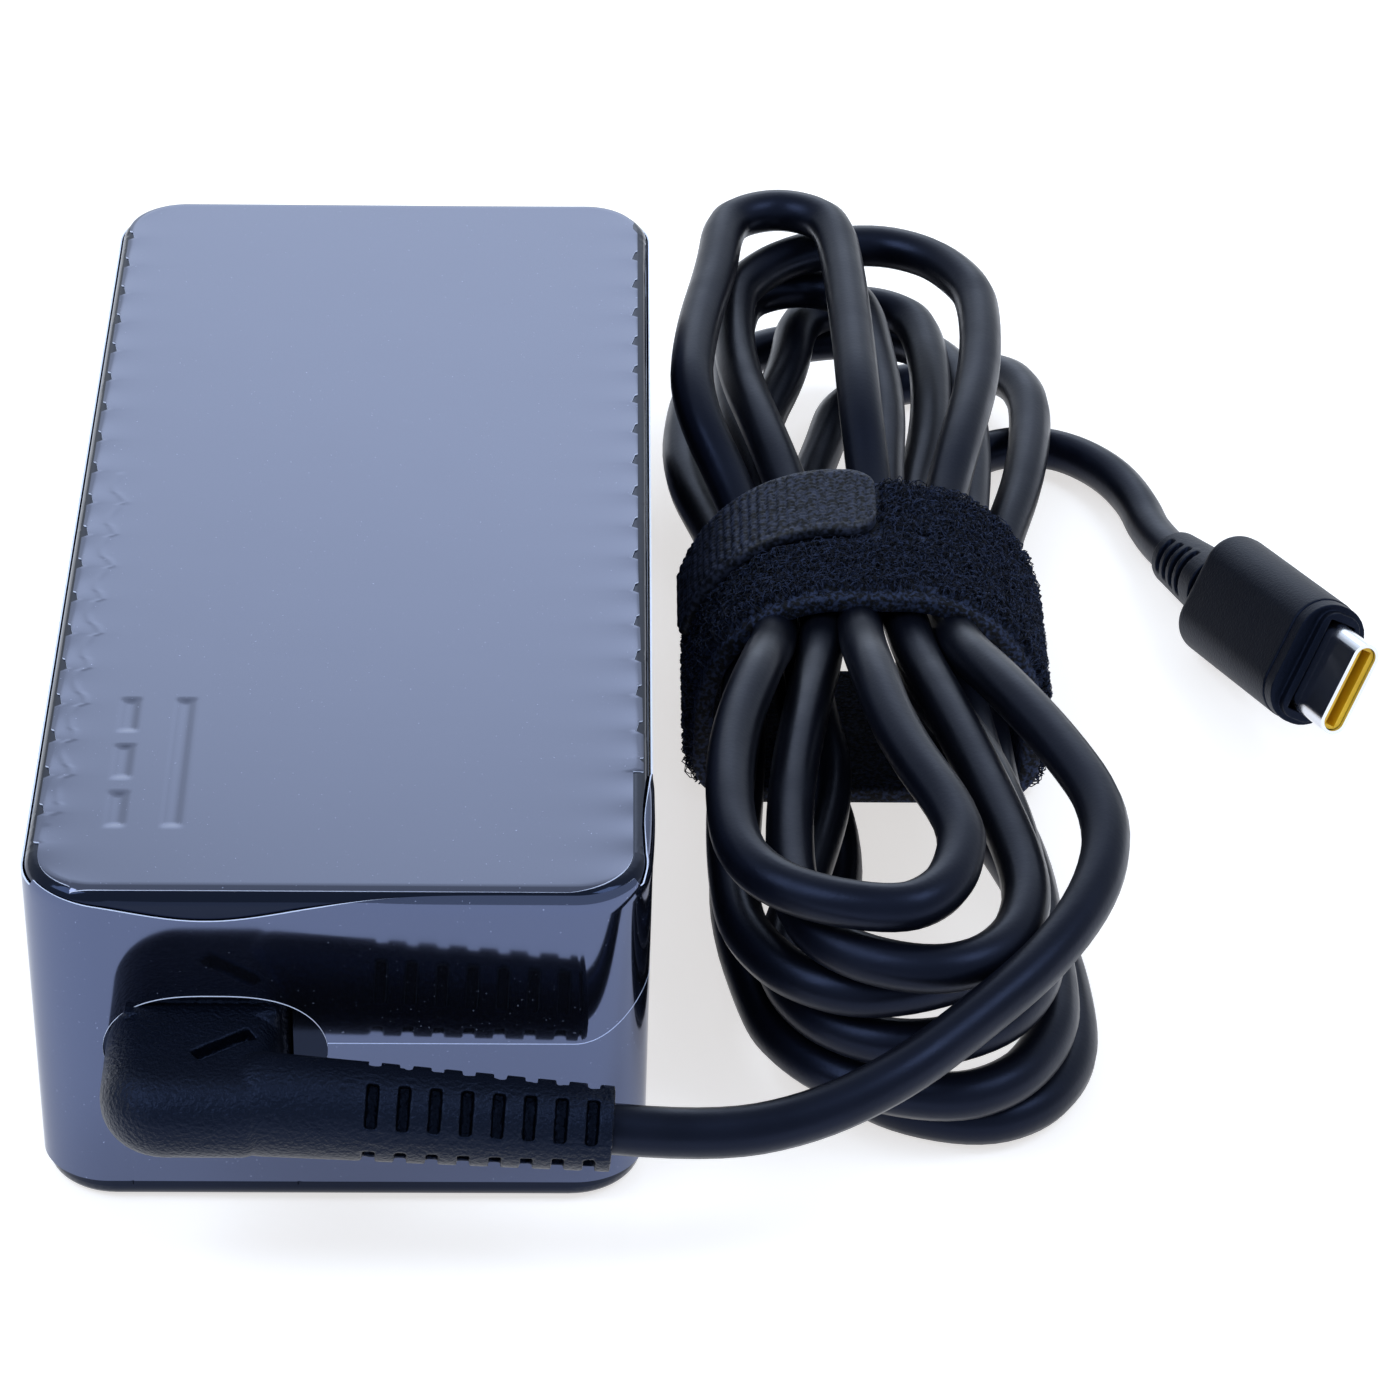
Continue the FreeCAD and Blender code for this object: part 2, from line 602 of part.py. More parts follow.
LEAD_ROUTE = [(20.4, -61.5, 13.1), (27.5, -62.0, 12.7), (35.0, -60.8, 13.5), (41.8, -57.6, 15.2),
              (47.3, -52.7, 16.6)]
TAIL_ROUTE = [(60.8, 56.3, 2.1), (65.2, 52.3, 2.1), (67.7, 46.6, 2.05), (68.6, 40.2, 2.15),
              (70.31, 34.79, 3.3)]


def free_cord():
    """The two stretches that aren't wound: boot to hank, and hank to plug."""
    keep(tube("lead", LEAD_ROUTE, size_of_cord()), "cord_lead")
    keep(tube("tail", TAIL_ROUTE, size_of_cord()), "cord_tail")


def size_of_cord():
    return value("cord_dia")


def cord_hank():
    """The outer shape of the six wound turns: two lobes and the waist that the tie grips."""
    lobes = []
    for name, low, extent in (
            ("near", ("25.6", "-52.4", "0"), ("35", "tie_near + 52.0", "hank_high")),
            ("far", ("23.6", "tie_near + tie_width + 0.4", "0"), ("37.4", "54.0", "hank_high"))):
        block = box(name + "_block", low, extent)
        doc.recompute()
        upright = rounded(name + "_plan", block, [(edges_along(block.Shape, Z_WAY), 15.0)])
        doc.recompute()
        rims = edges_at(upright.Shape, "Z", value("hank_high"))
        lobes.append(rounded(name + "_lobe", upright, [(rims, value("hank_round"))]))
    gap = value("tie_thick") + 0.1
    waist = dome("waist", gap, "tie_near - 14", "tie_width + 28")
    keep(fuse("hank", [lobes[0], waist, lobes[1]]), "cord_hank")


def dome(name, inset, near, deep):
    """A bar along Y whose section is the tie's outline moved inwards by inset."""
    block = box(name + "_bar", ("tie_left + %s" % inset, near, str(inset)),
                ("tie_right - tie_left - %s" % (2 * inset), deep, "tie_top - %s" % (2 * inset)))
    doc.recompute()
    middle = value("tie_top") / 2
    crown = edges_along(block.Shape, Y_WAY, lambda p: p.z > middle)
    foot = edges_along(block.Shape, Y_WAY, lambda p: p.z < middle)
    return rounded(name, block, [(crown, value("tie_crown") - inset),
                                 (foot, value("tie_foot") - inset)])


# ---------------------------------------------------------------------------------------------
# Hook-and-loop tie
# ---------------------------------------------------------------------------------------------
def tie_band():
    outer = dome("tie_outer", 0.0, "tie_near", "tie_width")
    inner = dome("tie_inner", value("tie_thick"), "tie_near - 1", "tie_width + 2")
    keep(cut("band", outer, inner), "tie_band")


def tie_tab():
    """The hook end, pressed over the band's upper left shoulder and free to peel."""
    body = new_body("tab")
    section = new_sketch(body, "tab_section", "YZ_Plane")
    rectangle(section, ("-tab_width / 2", "tie_crown + tab_gap"),
              ("tab_width / 2", "tie_crown + tab_gap + tab_thick"))
    feature(body, "Revolution", "tab_bend", section, Angle="tab_sweep", Reversed=True,
            ReferenceAxis=(section, ["H_Axis"]))
    flat = new_sketch(body, "tab_end", "YZ_Plane")
    rectangle(flat, ("-tab_width / 2", "tie_crown + tab_gap"),
              ("tab_width / 2", "tie_crown + tab_gap + tab_thick"))
    feature(body, "Pad", "tab_tip", flat, Length="tab_flat")
    tip = edges_along(body.Shape, Z_WAY, lambda p: p.x > 1.0)
    round_edges(body, "tab_tip_corners", tip, "2.5")
    place(body, ("tie_left + tie_crown", "tie_near + tie_width - tab_width / 2 - 0.2",
                 "tie_top - tie_crown"))
    return keep(body, "tie_tab")


# ---------------------------------------------------------------------------------------------
# USB-C plug, built along its own +X and laid where it rests
# ---------------------------------------------------------------------------------------------
PLUG_PLACE = FreeCAD.Placement(Vector(79.5, 7.0, 9.9), Rotation(-71.7, -12.7, 59.6))


def bar(body, name, back, length, wide, thick, radius=None):
    """Pad a centred rectangle along the plug's axis and round its four long edges."""
    sketch = new_sketch(body, name + "_section", "YZ_Plane", back)
    rectangle(sketch, ("-(%s) / 2" % wide, "-(%s) / 2" % thick),
              ("(%s) / 2" % wide, "(%s) / 2" % thick))
    feature(body, "Pad", name, sketch, Length=length)
    if radius:
        round_edges(body, name + "_sides", edges_along(body.Shape, X_WAY), radius)


def bar_pocket(body, name, back, length, wide, thick):
    sketch = new_sketch(body, name + "_section", "YZ_Plane", back)
    rectangle(sketch, ("-(%s) / 2" % wide, "-(%s) / 2" % thick),
              ("(%s) / 2" % wide, "(%s) / 2" % thick))
    feature(body, "Pocket", name, sketch, Reversed=True, Length=length)


def on_plug(obj, label):
    obj.Placement = PLUG_PLACE
    return keep(obj, label)


def plug_overmould():
    body = new_body("overmould")
    bar(body, "overmould_block", "-plug_length", "plug_length - collar_thick - 0.02",
        "plug_width", "plug_thick", "plug_round")
    round_edges(body, "overmould_back", edges_at(body.Shape, "X", -value("plug_length")), "1.2")
    bar_pocket(body, "overmould_cavity", "-plug_length + 6", "plug_length",
               "shell_width + 0.7", "shell_thick + 1.2")
    return on_plug(body, "plug_overmould")


def plug_collar():
    body = new_body("collar")
    bar(body, "collar_rim", "-0.5", "rim_thick + 0.5", "shell_width + 1.5",
        "shell_thick + 1.4", "1.4")
    bar(body, "collar_plate", "-collar_thick", "collar_thick", "plug_width - 0.16",
        "plug_thick - 0.16")
    corners = edges_along(body.Shape, X_WAY, lambda p: abs(p.y) > 5 and p.x < 0)
    round_edges(body, "collar_corners", corners, "plug_round - 0.08")
    bar_pocket(body, "collar_hole", "-collar_thick - 1", "collar_thick + rim_thick + 2",
               "shell_width + 0.06", "shell_thick + 0.06")
    return on_plug(body, "plug_collar")


def plug_shell():
    body = new_body("shell")
    bar(body, "shell_tube", "-shell_in", "shell_in + shell_out", "shell_width", "shell_thick",
        "shell_thick / 2 - 0.02")
    bar_pocket(body, "shell_bore", "-shell_in - 1", "shell_in + shell_out + 2",
               "shell_width - shell_thick", "shell_thick - 2 * shell_wall")
    for side, sign in (("left", "-"), ("right", "")):
        end = new_sketch(body, "shell_end_" + side, "YZ_Plane", "-shell_in - 1")
        circle(end, (sign + "(shell_width - shell_thick) / 2", "0"),
               "shell_thick - 2 * shell_wall")
        feature(body, "Pocket", "shell_bore_" + side, end, Reversed=True,
                Length="shell_in + shell_out + 2")
    return on_plug(body, "plug_shell")


def plug_tongue():
    """The insulator inside the shell, with the slot that receives the socket's tongue."""
    body = new_body("tongue")
    bar(body, "tongue_block", "-shell_in + 0.2", "shell_in + shell_out - 0.6",
        "shell_width - 2 * shell_wall - 0.1", "shell_thick - 2 * shell_wall - 0.06",
        "shell_thick / 2 - shell_wall - 0.04")
    bar_pocket(body, "tongue_slot", "-1.0", "shell_out + 2", "6.9", "0.9")
    return on_plug(body, "plug_tongue")


def plug_contacts():
    """Two rows of twelve spring contacts lying on the faces of the tongue's slot."""
    bars = []
    pitch, wide, thick = 0.5, 0.26, 0.1
    for number in range(24):
        row, column = divmod(number, 12)
        level = 0.34 if row else -0.34 - thick
        contact = doc.addObject("Part::Box", "contact%02d" % number)
        contact.Length, contact.Width, contact.Height = 5.2, wide, thick
        local = Vector(-0.9, (column - 5.5) * pitch - wide / 2, level)
        contact.Placement = PLUG_PLACE.multiply(FreeCAD.Placement(local, Rotation()))
        bars.append(contact)
    return keep(group("contacts", bars), "plug_contacts")


def plug_board():
    body = new_body("chip_board")
    bar(body, "chip_board_block", "-14.1", "6.9", "8.2", "0.8")
    return on_plug(body, "plug_circuit_board")


def plug_relief():
    """The short ribbed sleeve behind the plug."""
    cone = doc.addObject("Part::Cone", "relief_cone")
    cone.setExpression("Radius1", text("relief_back / 2"))
    cone.setExpression("Radius2", text("relief_front / 2"))
    cone.setExpression("Height", text("relief_length"))
    back = FreeCAD.Placement(Vector(-value("plug_length + relief_length"), 0, 0), AXES["x"])
    cone.Placement = PLUG_PLACE.multiply(back)
    slots = []
    for side in (-1, 1):
        for step in range(4):
            slot = doc.addObject("Part::Box", "relief_slot_%d_%d" % (side + 1, step))
            slot.Length, slot.Width, slot.Height = 0.85, 4.4, 1.8
            level = 2.0 if side > 0 else -2.0 - 1.8
            local = Vector(-value("plug_length + relief_length") + 1.2 + 1.65 * step, -2.2, level)
            slot.Placement = PLUG_PLACE.multiply(FreeCAD.Placement(local, Rotation()))
            slots.append(slot)
    return keep(cut("relief", cone, fuse("relief_slots", slots)), "plug_strain_relief")


# ---------------------------------------------------------------------------------------------
# Wires inside the case
# ---------------------------------------------------------------------------------------------
def lead_conductors():
    """The lead's two conductors, from the boot's inner end down to the board."""
    wires = []
    for number, x in enumerate((-11.4, -7.4)):
        route = [(x, -49.6, 15.0), (x, -47.2, 14.6), (x, -45.4, 12.2), (x, -45.0, 9.2),
                 (x, -45.05, 6.65)]
        wires.append(tube("conductor%d" % number, route, 1.6))
    return keep(group("conductors", wires), "lead_conductors")


# ---------------------------------------------------------------------------------------------
# Build, check and write
# ---------------------------------------------------------------------------------------------
case_cover()
case_base()
slot_panel()
side_film()
top_film()
inlet_housing()
inlet_pins()
inlet_leads()
circuit_board()
circuit_blocks()
circuit_rounds()
mains_choke()
transformer()
heat_path()
lead_conductors()
strain_relief()
free_cord()
cord_hank()
tie_band()
tie_tab()
plug_relief()
plug_overmould()
plug_collar()
plug_shell()
plug_tongue()
plug_contacts()
plug_board()
doc.recompute()

for obj in doc.Objects:
    if {"Invalid", "Error"} & set(obj.State):
        raise RuntimeError("%s did not build: %s" % (obj.Name, obj.State))

for obj in subparts:
    shape = obj.Shape
    if shape.isNull() or not shape.isValid() or not shape.Solids:
        raise RuntimeError("%s has no valid shape" % obj.Label)
    bounds = shape.optimalBoundingBox(False, False)
    print("%-24s %d solid(s) %9.1f mm3  x %6.1f %6.1f  y %6.1f %6.1f  z %6.2f %6.2f" % (
        obj.Label, len(shape.Solids), shape.Volume, bounds.XMin, bounds.XMax, bounds.YMin,
        bounds.YMax, bounds.ZMin, bounds.ZMax))

for obj in subparts:
    obj.Shape.exportStep("parts/%s.step" % obj.Label)
print(len(subparts), "sub-parts written")
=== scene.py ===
import math
import random

import bmesh
import bpy
import numpy as np
from mathutils import Matrix, Vector, noise


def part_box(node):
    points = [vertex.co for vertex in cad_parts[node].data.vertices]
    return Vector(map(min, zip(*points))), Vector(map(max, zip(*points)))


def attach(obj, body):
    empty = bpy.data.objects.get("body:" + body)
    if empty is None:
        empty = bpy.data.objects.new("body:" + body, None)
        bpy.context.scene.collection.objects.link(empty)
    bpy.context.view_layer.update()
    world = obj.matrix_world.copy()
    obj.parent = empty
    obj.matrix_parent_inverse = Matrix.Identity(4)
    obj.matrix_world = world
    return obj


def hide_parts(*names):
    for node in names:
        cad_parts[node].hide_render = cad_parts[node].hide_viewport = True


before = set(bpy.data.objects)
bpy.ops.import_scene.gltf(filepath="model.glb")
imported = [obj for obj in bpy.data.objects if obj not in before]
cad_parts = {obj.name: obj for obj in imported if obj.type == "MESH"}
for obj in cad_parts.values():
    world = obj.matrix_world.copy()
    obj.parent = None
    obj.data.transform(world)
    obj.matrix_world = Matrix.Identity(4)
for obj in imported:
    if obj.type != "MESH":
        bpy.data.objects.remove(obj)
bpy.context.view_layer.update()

MM = 0.001
BODY = "adapter"
random.seed(7)


def millimetres(points):
    """Points given in millimetres, as vectors in metres."""
    return [Vector(point) * MM for point in points]


# ---------------------------------------------------------------------------------------------
# Camera
# ---------------------------------------------------------------------------------------------
def make_camera():
    """A long lens above the near end, a little to the right, looking down at 33 degrees."""
    place = Vector((0.020454, -0.388715, 0.263070))
    pitch, yaw, roll = math.radians(32.99), -0.0181, -0.0144
    ahead = Vector((-math.sin(yaw) * math.cos(pitch), math.cos(yaw) * math.cos(pitch),
                    -math.sin(pitch)))
    right = Vector((math.cos(yaw), math.sin(yaw), 0))
    down = ahead.cross(right)
    across = math.cos(roll) * right + math.sin(roll) * down
    downward = -math.sin(roll) * right + math.cos(roll) * down
    axes = Matrix((across, -downward, -ahead)).transposed()
    data = bpy.data.cameras.new("camera")
    data.lens, data.sensor_width = 144.0, 36.0
    camera = bpy.data.objects.new("camera", data)
    camera.matrix_world = Matrix.Translation(place) @ axes.to_4x4()
    bpy.context.collection.objects.link(camera)
    bpy.context.scene.camera = camera


make_camera()


# ---------------------------------------------------------------------------------------------
# Materials
# ---------------------------------------------------------------------------------------------
def linear(colour):
    """An sRGB colour of 0 to 255 as the linear colour that a shader takes."""
    scaled = [channel / 255 for channel in colour]
    return [c / 12.92 if c <= 0.04045 else ((c + 0.055) / 1.055) ** 2.4 for c in scaled] + [1.0]


class Paint:
    """A node material round one Principled shader."""

    def __init__(self, name, colour, roughness, **sockets):
        self.material = bpy.data.materials.new(name)
        self.material.use_nodes = True
        self.nodes = self.material.node_tree.nodes
        self.links = self.material.node_tree.links
        self.shader = self.nodes["Principled BSDF"]
        self.shader.inputs["Base Color"].default_value = linear(colour)
        self.shader.inputs["Roughness"].default_value = roughness
        for socket, amount in sockets.items():
            self.shader.inputs[socket.replace("_", " ")].default_value = amount
        self.place = self.nodes.new("ShaderNodeTexCoord").outputs["Object"]
        self.normal = None

    def noise(self, scale, detail=3.0, stretch=None, rough=0.5):
        """A noise texture in object space; scale is features per metre."""
        place = self.place
        if stretch:
            mapping = self.nodes.new("ShaderNodeMapping")
            mapping.inputs["Scale"].default_value = stretch
            self.links.new(place, mapping.inputs["Vector"])
            place = mapping.outputs["Vector"]
        texture = self.nodes.new("ShaderNodeTexNoise")
        texture.inputs["Scale"].default_value = scale
        texture.inputs["Detail"].default_value = detail
        texture.inputs["Roughness"].default_value = rough
        self.links.new(place, texture.inputs["Vector"])
        return texture.outputs["Fac"]

    def ramp(self, source, stops):
        """Map a value through a ramp of (position, grey or sRGB colour)."""
        ramp = self.nodes.new("ShaderNodeValToRGB")
        self.links.new(source, ramp.inputs["Fac"])
        elements = ramp.color_ramp.elements
        while len(elements) < len(stops):
            elements.new(0.5)
        for element, (position, colour) in zip(elements, stops):
            element.position = position
            flat = isinstance(colour, (int, float))
            element.color = [colour, colour, colour, 1.0] if flat else linear(colour)
        return ramp.outputs["Color"]

    def colour(self, source, stops):
        self.links.new(self.ramp(source, stops), self.shader.inputs["Base Color"])
        return self

    def roughness(self, source, stops):
        self.links.new(self.ramp(source, stops), self.shader.inputs["Roughness"])
        return self

    def bump(self, source, depth, strength=1.0):
        """Add a bump of a depth in millimetres on top of the ones already there."""
        bump = self.nodes.new("ShaderNodeBump")
        bump.inputs["Distance"].default_value = depth * MM
        bump.inputs["Strength"].default_value = strength
        self.links.new(source, bump.inputs["Height"])
        if self.normal:
            self.links.new(self.normal, bump.inputs["Normal"])
        self.normal = bump.outputs["Normal"]
        self.links.new(self.normal, self.shader.inputs["Normal"])
        return self


BLUE_GLOSS = (0.36, 0.5, 1.0, 1.0)


def glossy_case():
    """The bare case: polished black plastic."""
    paint = Paint("case_gloss", (8, 10, 15), 0.16, IOR=1.42, Specular_Tint=BLUE_GLOSS)
    paint.bump(paint.noise(900, 2), 0.004)
    return paint.roughness(paint.noise(260, 4), [(0.35, 0.07), (0.7, 0.14)]).material


def clear_film(name, tint, index):
    """Clear film on black plastic, seen as a bluish mirror with a few specks."""
    paint = Paint(name, (10, 12, 18), 0.12, IOR=index, Specular_Tint=tint)
    specks = paint.ramp(paint.noise(5200, 1, rough=0.2), [(0.785, 0.0), (0.82, 0.6)])
    paint.links.new(specks, colour_between(paint, (10, 12, 18), (150, 160, 190)))
    paint.bump(paint.noise(40, 1), 0.012)
    return paint.roughness(paint.noise(120, 5), [(0.3, 0.05), (0.75, 0.1)]).material


def colour_between(paint, first, second):
    """Mix two base colours; gives back the socket that takes the factor."""
    mix = paint.nodes.new("ShaderNodeMix")
    mix.data_type = "RGBA"
    mix.inputs["A"].default_value = linear(first)
    mix.inputs["B"].default_value = linear(second)
    paint.links.new(mix.outputs["Result"], paint.shader.inputs["Base Color"])
    return mix.inputs["Factor"]


def film_edge_painted_glint():
    """The cut edge of the film, painted as a highlight: a pale colour with a faint bluish glow."""
    # painted highlight: pale base colour plus a faint bluish emission, so the edge glows
    paint = Paint("film_edge_painted_glint", (190, 200, 226), 0.25, IOR=1.6, Emission_Strength=0.3,
                  Emission_Color=(0.6, 0.72, 1.0, 1.0))
    return paint.roughness(paint.noise(800, 3), [(0.3, 0.15), (0.7, 0.4)]).material


def matte_moulding(name, colour, lighter, roughness, grain=4200, depth=0.03, tint=BLUE_GLOSS):
    """Spark-eroded mould texture: a fine even grain with a soft sheen."""
    paint = Paint(name, colour, roughness, IOR=1.33, Specular_Tint=tint)
    paint.colour(paint.noise(300, 4), [(0.3, colour), (0.75, lighter)])
    return paint.bump(paint.noise(grain, 3), depth).bump(paint.noise(180, 2), 0.03).material


def satin_cord():
    """The lead's soft black jacket."""
    paint = Paint("cord_satin", (6, 7, 12), 0.36, IOR=1.34, Specular_Tint=(0.42, 0.54, 1.0, 1.0))
    paint.colour(paint.noise(140, 3), [(0.3, (5, 6, 11)), (0.75, (9, 11, 20))])
    paint.bump(paint.noise(2600, 3), 0.012)
    return paint.roughness(paint.noise(220, 4), [(0.3, 0.3), (0.75, 0.44)]).material


def plain(name, colour, lighter, roughness, metallic=0.0, grain=1500, depth=0.01):
    """A simple finish with a little mottling and grain."""
    paint = Paint(name, colour, roughness, Metallic=metallic)
    paint.colour(paint.noise(240, 4), [(0.3, colour), (0.75, lighter)])
    return paint.bump(paint.noise(grain, 3), depth).material


def loop_felt():
    """The matted loop side of the tie."""
    paint = Paint("tie_loop", (5, 7, 14), 0.8, Sheen_Weight=0.15, Sheen_Roughness=0.4,
                  Sheen_Tint=linear((120, 140, 200)), IOR=1.3)
    paint.colour(paint.noise(2600, 3), [(0.45, (2, 4, 10)), (0.62, (36, 46, 72))])
    return paint.bump(paint.noise(2400, 4), 0.25).material


def hook_weave():
    """The woven hook side of the tie."""
    paint = Paint("tie_hook", (14, 17, 27), 0.5, Sheen_Weight=0.1, Sheen_Roughness=0.5,
                  Sheen_Tint=linear((150, 165, 210)), IOR=1.35)
    paint.colour(paint.noise(2400, 3), [(0.42, (2, 4, 9)), (0.62, (45, 51, 70))])
    return paint.bump(paint.noise(1800, 4), 0.05).material


def glowing_floor():
    """A white sweep that is lit from within, so that shadows on it stay faint."""
    paint = Paint("floor_white", (205, 207, 210), 0.9, Emission_Color=(1.0, 0.97, 0.95, 1.0),
                  Emission_Strength=0.66)
    return paint.colour(paint.noise(6, 2), [(0.3, (202, 204, 207)), (0.7, (208, 210, 213))]).material


MATERIALS = {
    "floor": glowing_floor(),
    "case": glossy_case(),
    "film": clear_film("film_gloss", (0.61, 0.68, 1.0, 1.0), 2.42),
    "wall_film": clear_film("film_gloss_walls", (0.473, 0.58, 1.0, 1.0), 2.5),
    "film_edge_painted_glint": film_edge_painted_glint(),
    "boot": matte_moulding("boot_matte", (3, 5, 11), (6, 9, 18), 0.36, 3000, 0.16),
    "plug": matte_moulding("plug_matte", (2, 3, 7), (4, 6, 12), 0.5, depth=0.035),
    "inlet": matte_moulding("inlet_matte", (16, 16, 19), (24, 24, 27), 0.5),
    "cord": satin_cord(),
    "loop": loop_felt(),
    "hook": hook_weave(),
    "nickel": plain("shell_nickel", (214, 217, 226), (226, 228, 235), 0.16, 1.0, 900, 0.002),
    "tongue": plain("tongue_amber", (206, 160, 18), (230, 184, 30), 0.42),
    "gold": plain("contact_gold", (222, 186, 96), (232, 200, 120), 0.25, 1.0),
    "board": plain("board_green", (14, 66, 40), (22, 88, 54), 0.45),
    "ferrite": plain("ferrite", (46, 46, 50), (66, 66, 70), 0.8, 0.0, 2600, 0.03),
    "copper": plain("enamelled_copper", (150, 78, 38), (186, 104, 54), 0.32, 0.6),
    "tape": plain("winding_tape", (222, 184, 38), (236, 204, 70), 0.35),
    "can": plain("aluminium_can", (186, 188, 192), (204, 206, 210), 0.32, 1.0),
    "sleeve": plain("black_sleeve", (22, 24, 32), (34, 37, 48), 0.4),
    "chip": plain("moulded_epoxy", (20, 20, 22), (30, 30, 33), 0.6),
    "blue": plain("dipped_epoxy", (28, 76, 148), (44, 98, 172), 0.4),
    "yellow": plain("box_yellow", (206, 168, 38), (220, 186, 60), 0.4),
    "fuse": plain("fuse_brown", (84, 46, 30), (102, 60, 40), 0.5),
    "brass": plain("plated_pin", (196, 184, 150), (212, 200, 168), 0.28, 1.0),
    "wire": plain("tinned_wire", (184, 186, 188), (204, 205, 206), 0.35, 1.0),
    "pad": plain("silicone_pad", (116, 128, 148), (132, 144, 162), 0.8),
    "sheet": plain("polyester_sheet", (206, 204, 192), (220, 218, 206), 0.5),
    "red": plain("conductor_red", (140, 24, 24), (162, 34, 34), 0.5),
}

NODE_PAINT = {
    "case": ("case_cover", "case_base", "boot_slot_panel"),
    "inlet": ("inlet_housing",),
    "brass": ("inlet_pins",),
    "wire": ("inlet_leads",),
    "board": ("circuit_board", "power_delivery_board", "plug_circuit_board"),
    "fuse": ("fuse",),
    "yellow": ("x_capacitor",),
    "chip": ("bridge_rectifier", "primary_transistor", "secondary_transistor", "optocoupler",
             "transformer_bobbin"),
    "can": ("primary_heat_sink", "secondary_heat_sink", "heat_spreader", "output_capacitors"),
    "sleeve": ("bulk_capacitor", "inductor"),
    "blue": ("varistor", "y_capacitor"),
    "ferrite": ("choke_core", "transformer_core"),
    "copper": ("choke_windings",),
    "tape": ("transformer_winding",),
    "pad": ("thermal_pad",),
    "sheet": ("insulating_sheet",),
    "red": ("lead_conductors",),
    "nickel": ("plug_shell",),
    "tongue": ("plug_tongue",),
    "gold": ("plug_contacts",),
}

for paint_name, node_names in NODE_PAINT.items():
    for node_name in node_names:
        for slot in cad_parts[node_name].material_slots:
            slot.material = MATERIALS[paint_name]


# ---------------------------------------------------------------------------------------------
# Mesh helpers
# ---------------------------------------------------------------------------------------------
def mesh_object(name, points, faces, paint, smooth=True):
    """A new object from points in metres and faces."""
    mesh = bpy.data.meshes.new(name)
    mesh.from_pydata([tuple(point) for point in points], [], faces)
    mesh.validate()
    mesh.polygons.foreach_set("use_smooth", [smooth] * len(mesh.polygons))
    mesh.materials.append(MATERIALS[paint])
    obj = bpy.data.objects.new(name, mesh)
    bpy.context.collection.objects.link(obj)
    return obj


def apply_modifiers(obj):
    """Turn an object's modifiers into its mesh."""
    graph = bpy.context.evaluated_depsgraph_get()
    mesh = bpy.data.meshes.new_from_object(obj.evaluated_get(graph))
    obj.modifiers.clear()
    obj.data = mesh


def softened(name, node_names, paint, voxel, rounds):
    """The CAD nodes as one moulded skin: remeshed, with its edges eased."""
    graph = bpy.context.evaluated_depsgraph_get()
    skin = bmesh.new()
    for node_name in node_names:
        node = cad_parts[node_name]
        copy = node.evaluated_get(graph).to_mesh()
        copy.transform(node.matrix_world)
        skin.from_mesh(copy)
    mesh = bpy.data.meshes.new(name)
    skin.to_mesh(mesh)
    skin.free()
    obj = bpy.data.objects.new(name, mesh)
    bpy.context.collection.objects.link(obj)
    remesh = obj.modifiers.new("remesh", "REMESH")
    remesh.mode, remesh.voxel_size = "VOXEL", voxel * MM
    smooth = obj.modifiers.new("ease", "SMOOTH")
    smooth.factor, smooth.iterations = 0.5, rounds
    apply_modifiers(obj)
    obj.data.materials.clear()
    obj.data.materials.append(MATERIALS[paint])
    obj.data.polygons.foreach_set("use_smooth", [True] * len(obj.data.polygons))
    return obj


# ---------------------------------------------------------------------------------------------
# DC lead: one spline from the strain relief, through six turns, to the plug
# ---------------------------------------------------------------------------------------------
CORD_DIAMETER = 3.8
LEAD_ROUTE = [(20.4, -61.5, 13.1), (27.5, -62.0, 12.7), (35.0, -60.8, 13.5), (41.8, -57.6, 15.2),
              (47.3, -52.7, 16.6)]
LEAD_INTO_TIE = [(53.4, -46.6, 18.2), (57.7, -38.6, 19.4), (58.7, -30.0, 20.0),
                 (55.6, -20.5, 20.0), (51.4, -10.7, 19.6), (48.6, -3.0, 18.0)]
TAIL_FROM_TIE = [(46.6, 25.0, 3.0), (46.2, 35.0, 2.2), (47.4, 44.5, 2.1), (50.6, 52.0, 2.1),
                 (55.4, 56.3, 2.1)]
TAIL_ROUTE = [(60.8, 56.3, 2.1), (65.2, 52.3, 2.1), (67.7, 46.6, 2.05), (68.6, 40.2, 2.15),
              (70.31, 34.79, 3.3)]

# The strands in the tie: (x, z) at its near edge and at its far edge.
RIGHT_STRANDS = [((48.4, 15.5), (47.6, 15.8)), ((44.3, 16.6), (42.4, 16.9)),
                 ((40.5, 16.9), (43.6, 12.8)), ((45.2, 12.4), (47.5, 11.6)),
                 ((49.0, 11.3), (51.0, 9.2)), ((51.3, 7.2), (52.2, 5.2)),
                 ((47.4, 3.9), (47.1, 3.9))]
LEFT_STRANDS = [((37.8, 16.3), (36.4, 16.2)), ((33.8, 15.8), (32.2, 15.6)),
                ((31.6, 11.8), (33.1, 11.6)), ((36.1, 12.3), (37.0, 12.2)),
                ((31.2, 7.6), (31.4, 7.5)), ((35.6, 8.3), (35.4, 8.2))]

# Each lobe, in the order that the cord runs: x on its left and on its right at the stations,
# (x, y) of its tip, and its level on the left, at the tip and on the right.  The turns lie on
# one another, a cord's thickness apart, and fan out away from the tie.
FAR_LOBES = [((33.5, 31.0, 30.8), (50.4, 52.7, 53.2), (43.5, 66.1), (18, 18, 18)),
             ((26.7, 27.4, 29.4), (41.4, 41.2, 40.8), (35.2, 65.1), (22, 22, 22)),
             ((33.5, 31.0, 30.8), (43.6, 44.4, 43.6), (37.5, 65.2), (14, 14, 14)),
             ((34.2, 32.6, 36.2), (46.0, 48.6, 49.2), (43.0, 68.8), (10, 10, 10)),
             ((29.9, 26.2, 27.0), (51.2, 52.4, 51.8), (40.5, 69.6), (6, 6, 8.6)),
             ((36.0, 36.6, 39.6), (54.0, 57.2, 58.6), (50.0, 68.6), (2.1, 2.1, 6.0))]
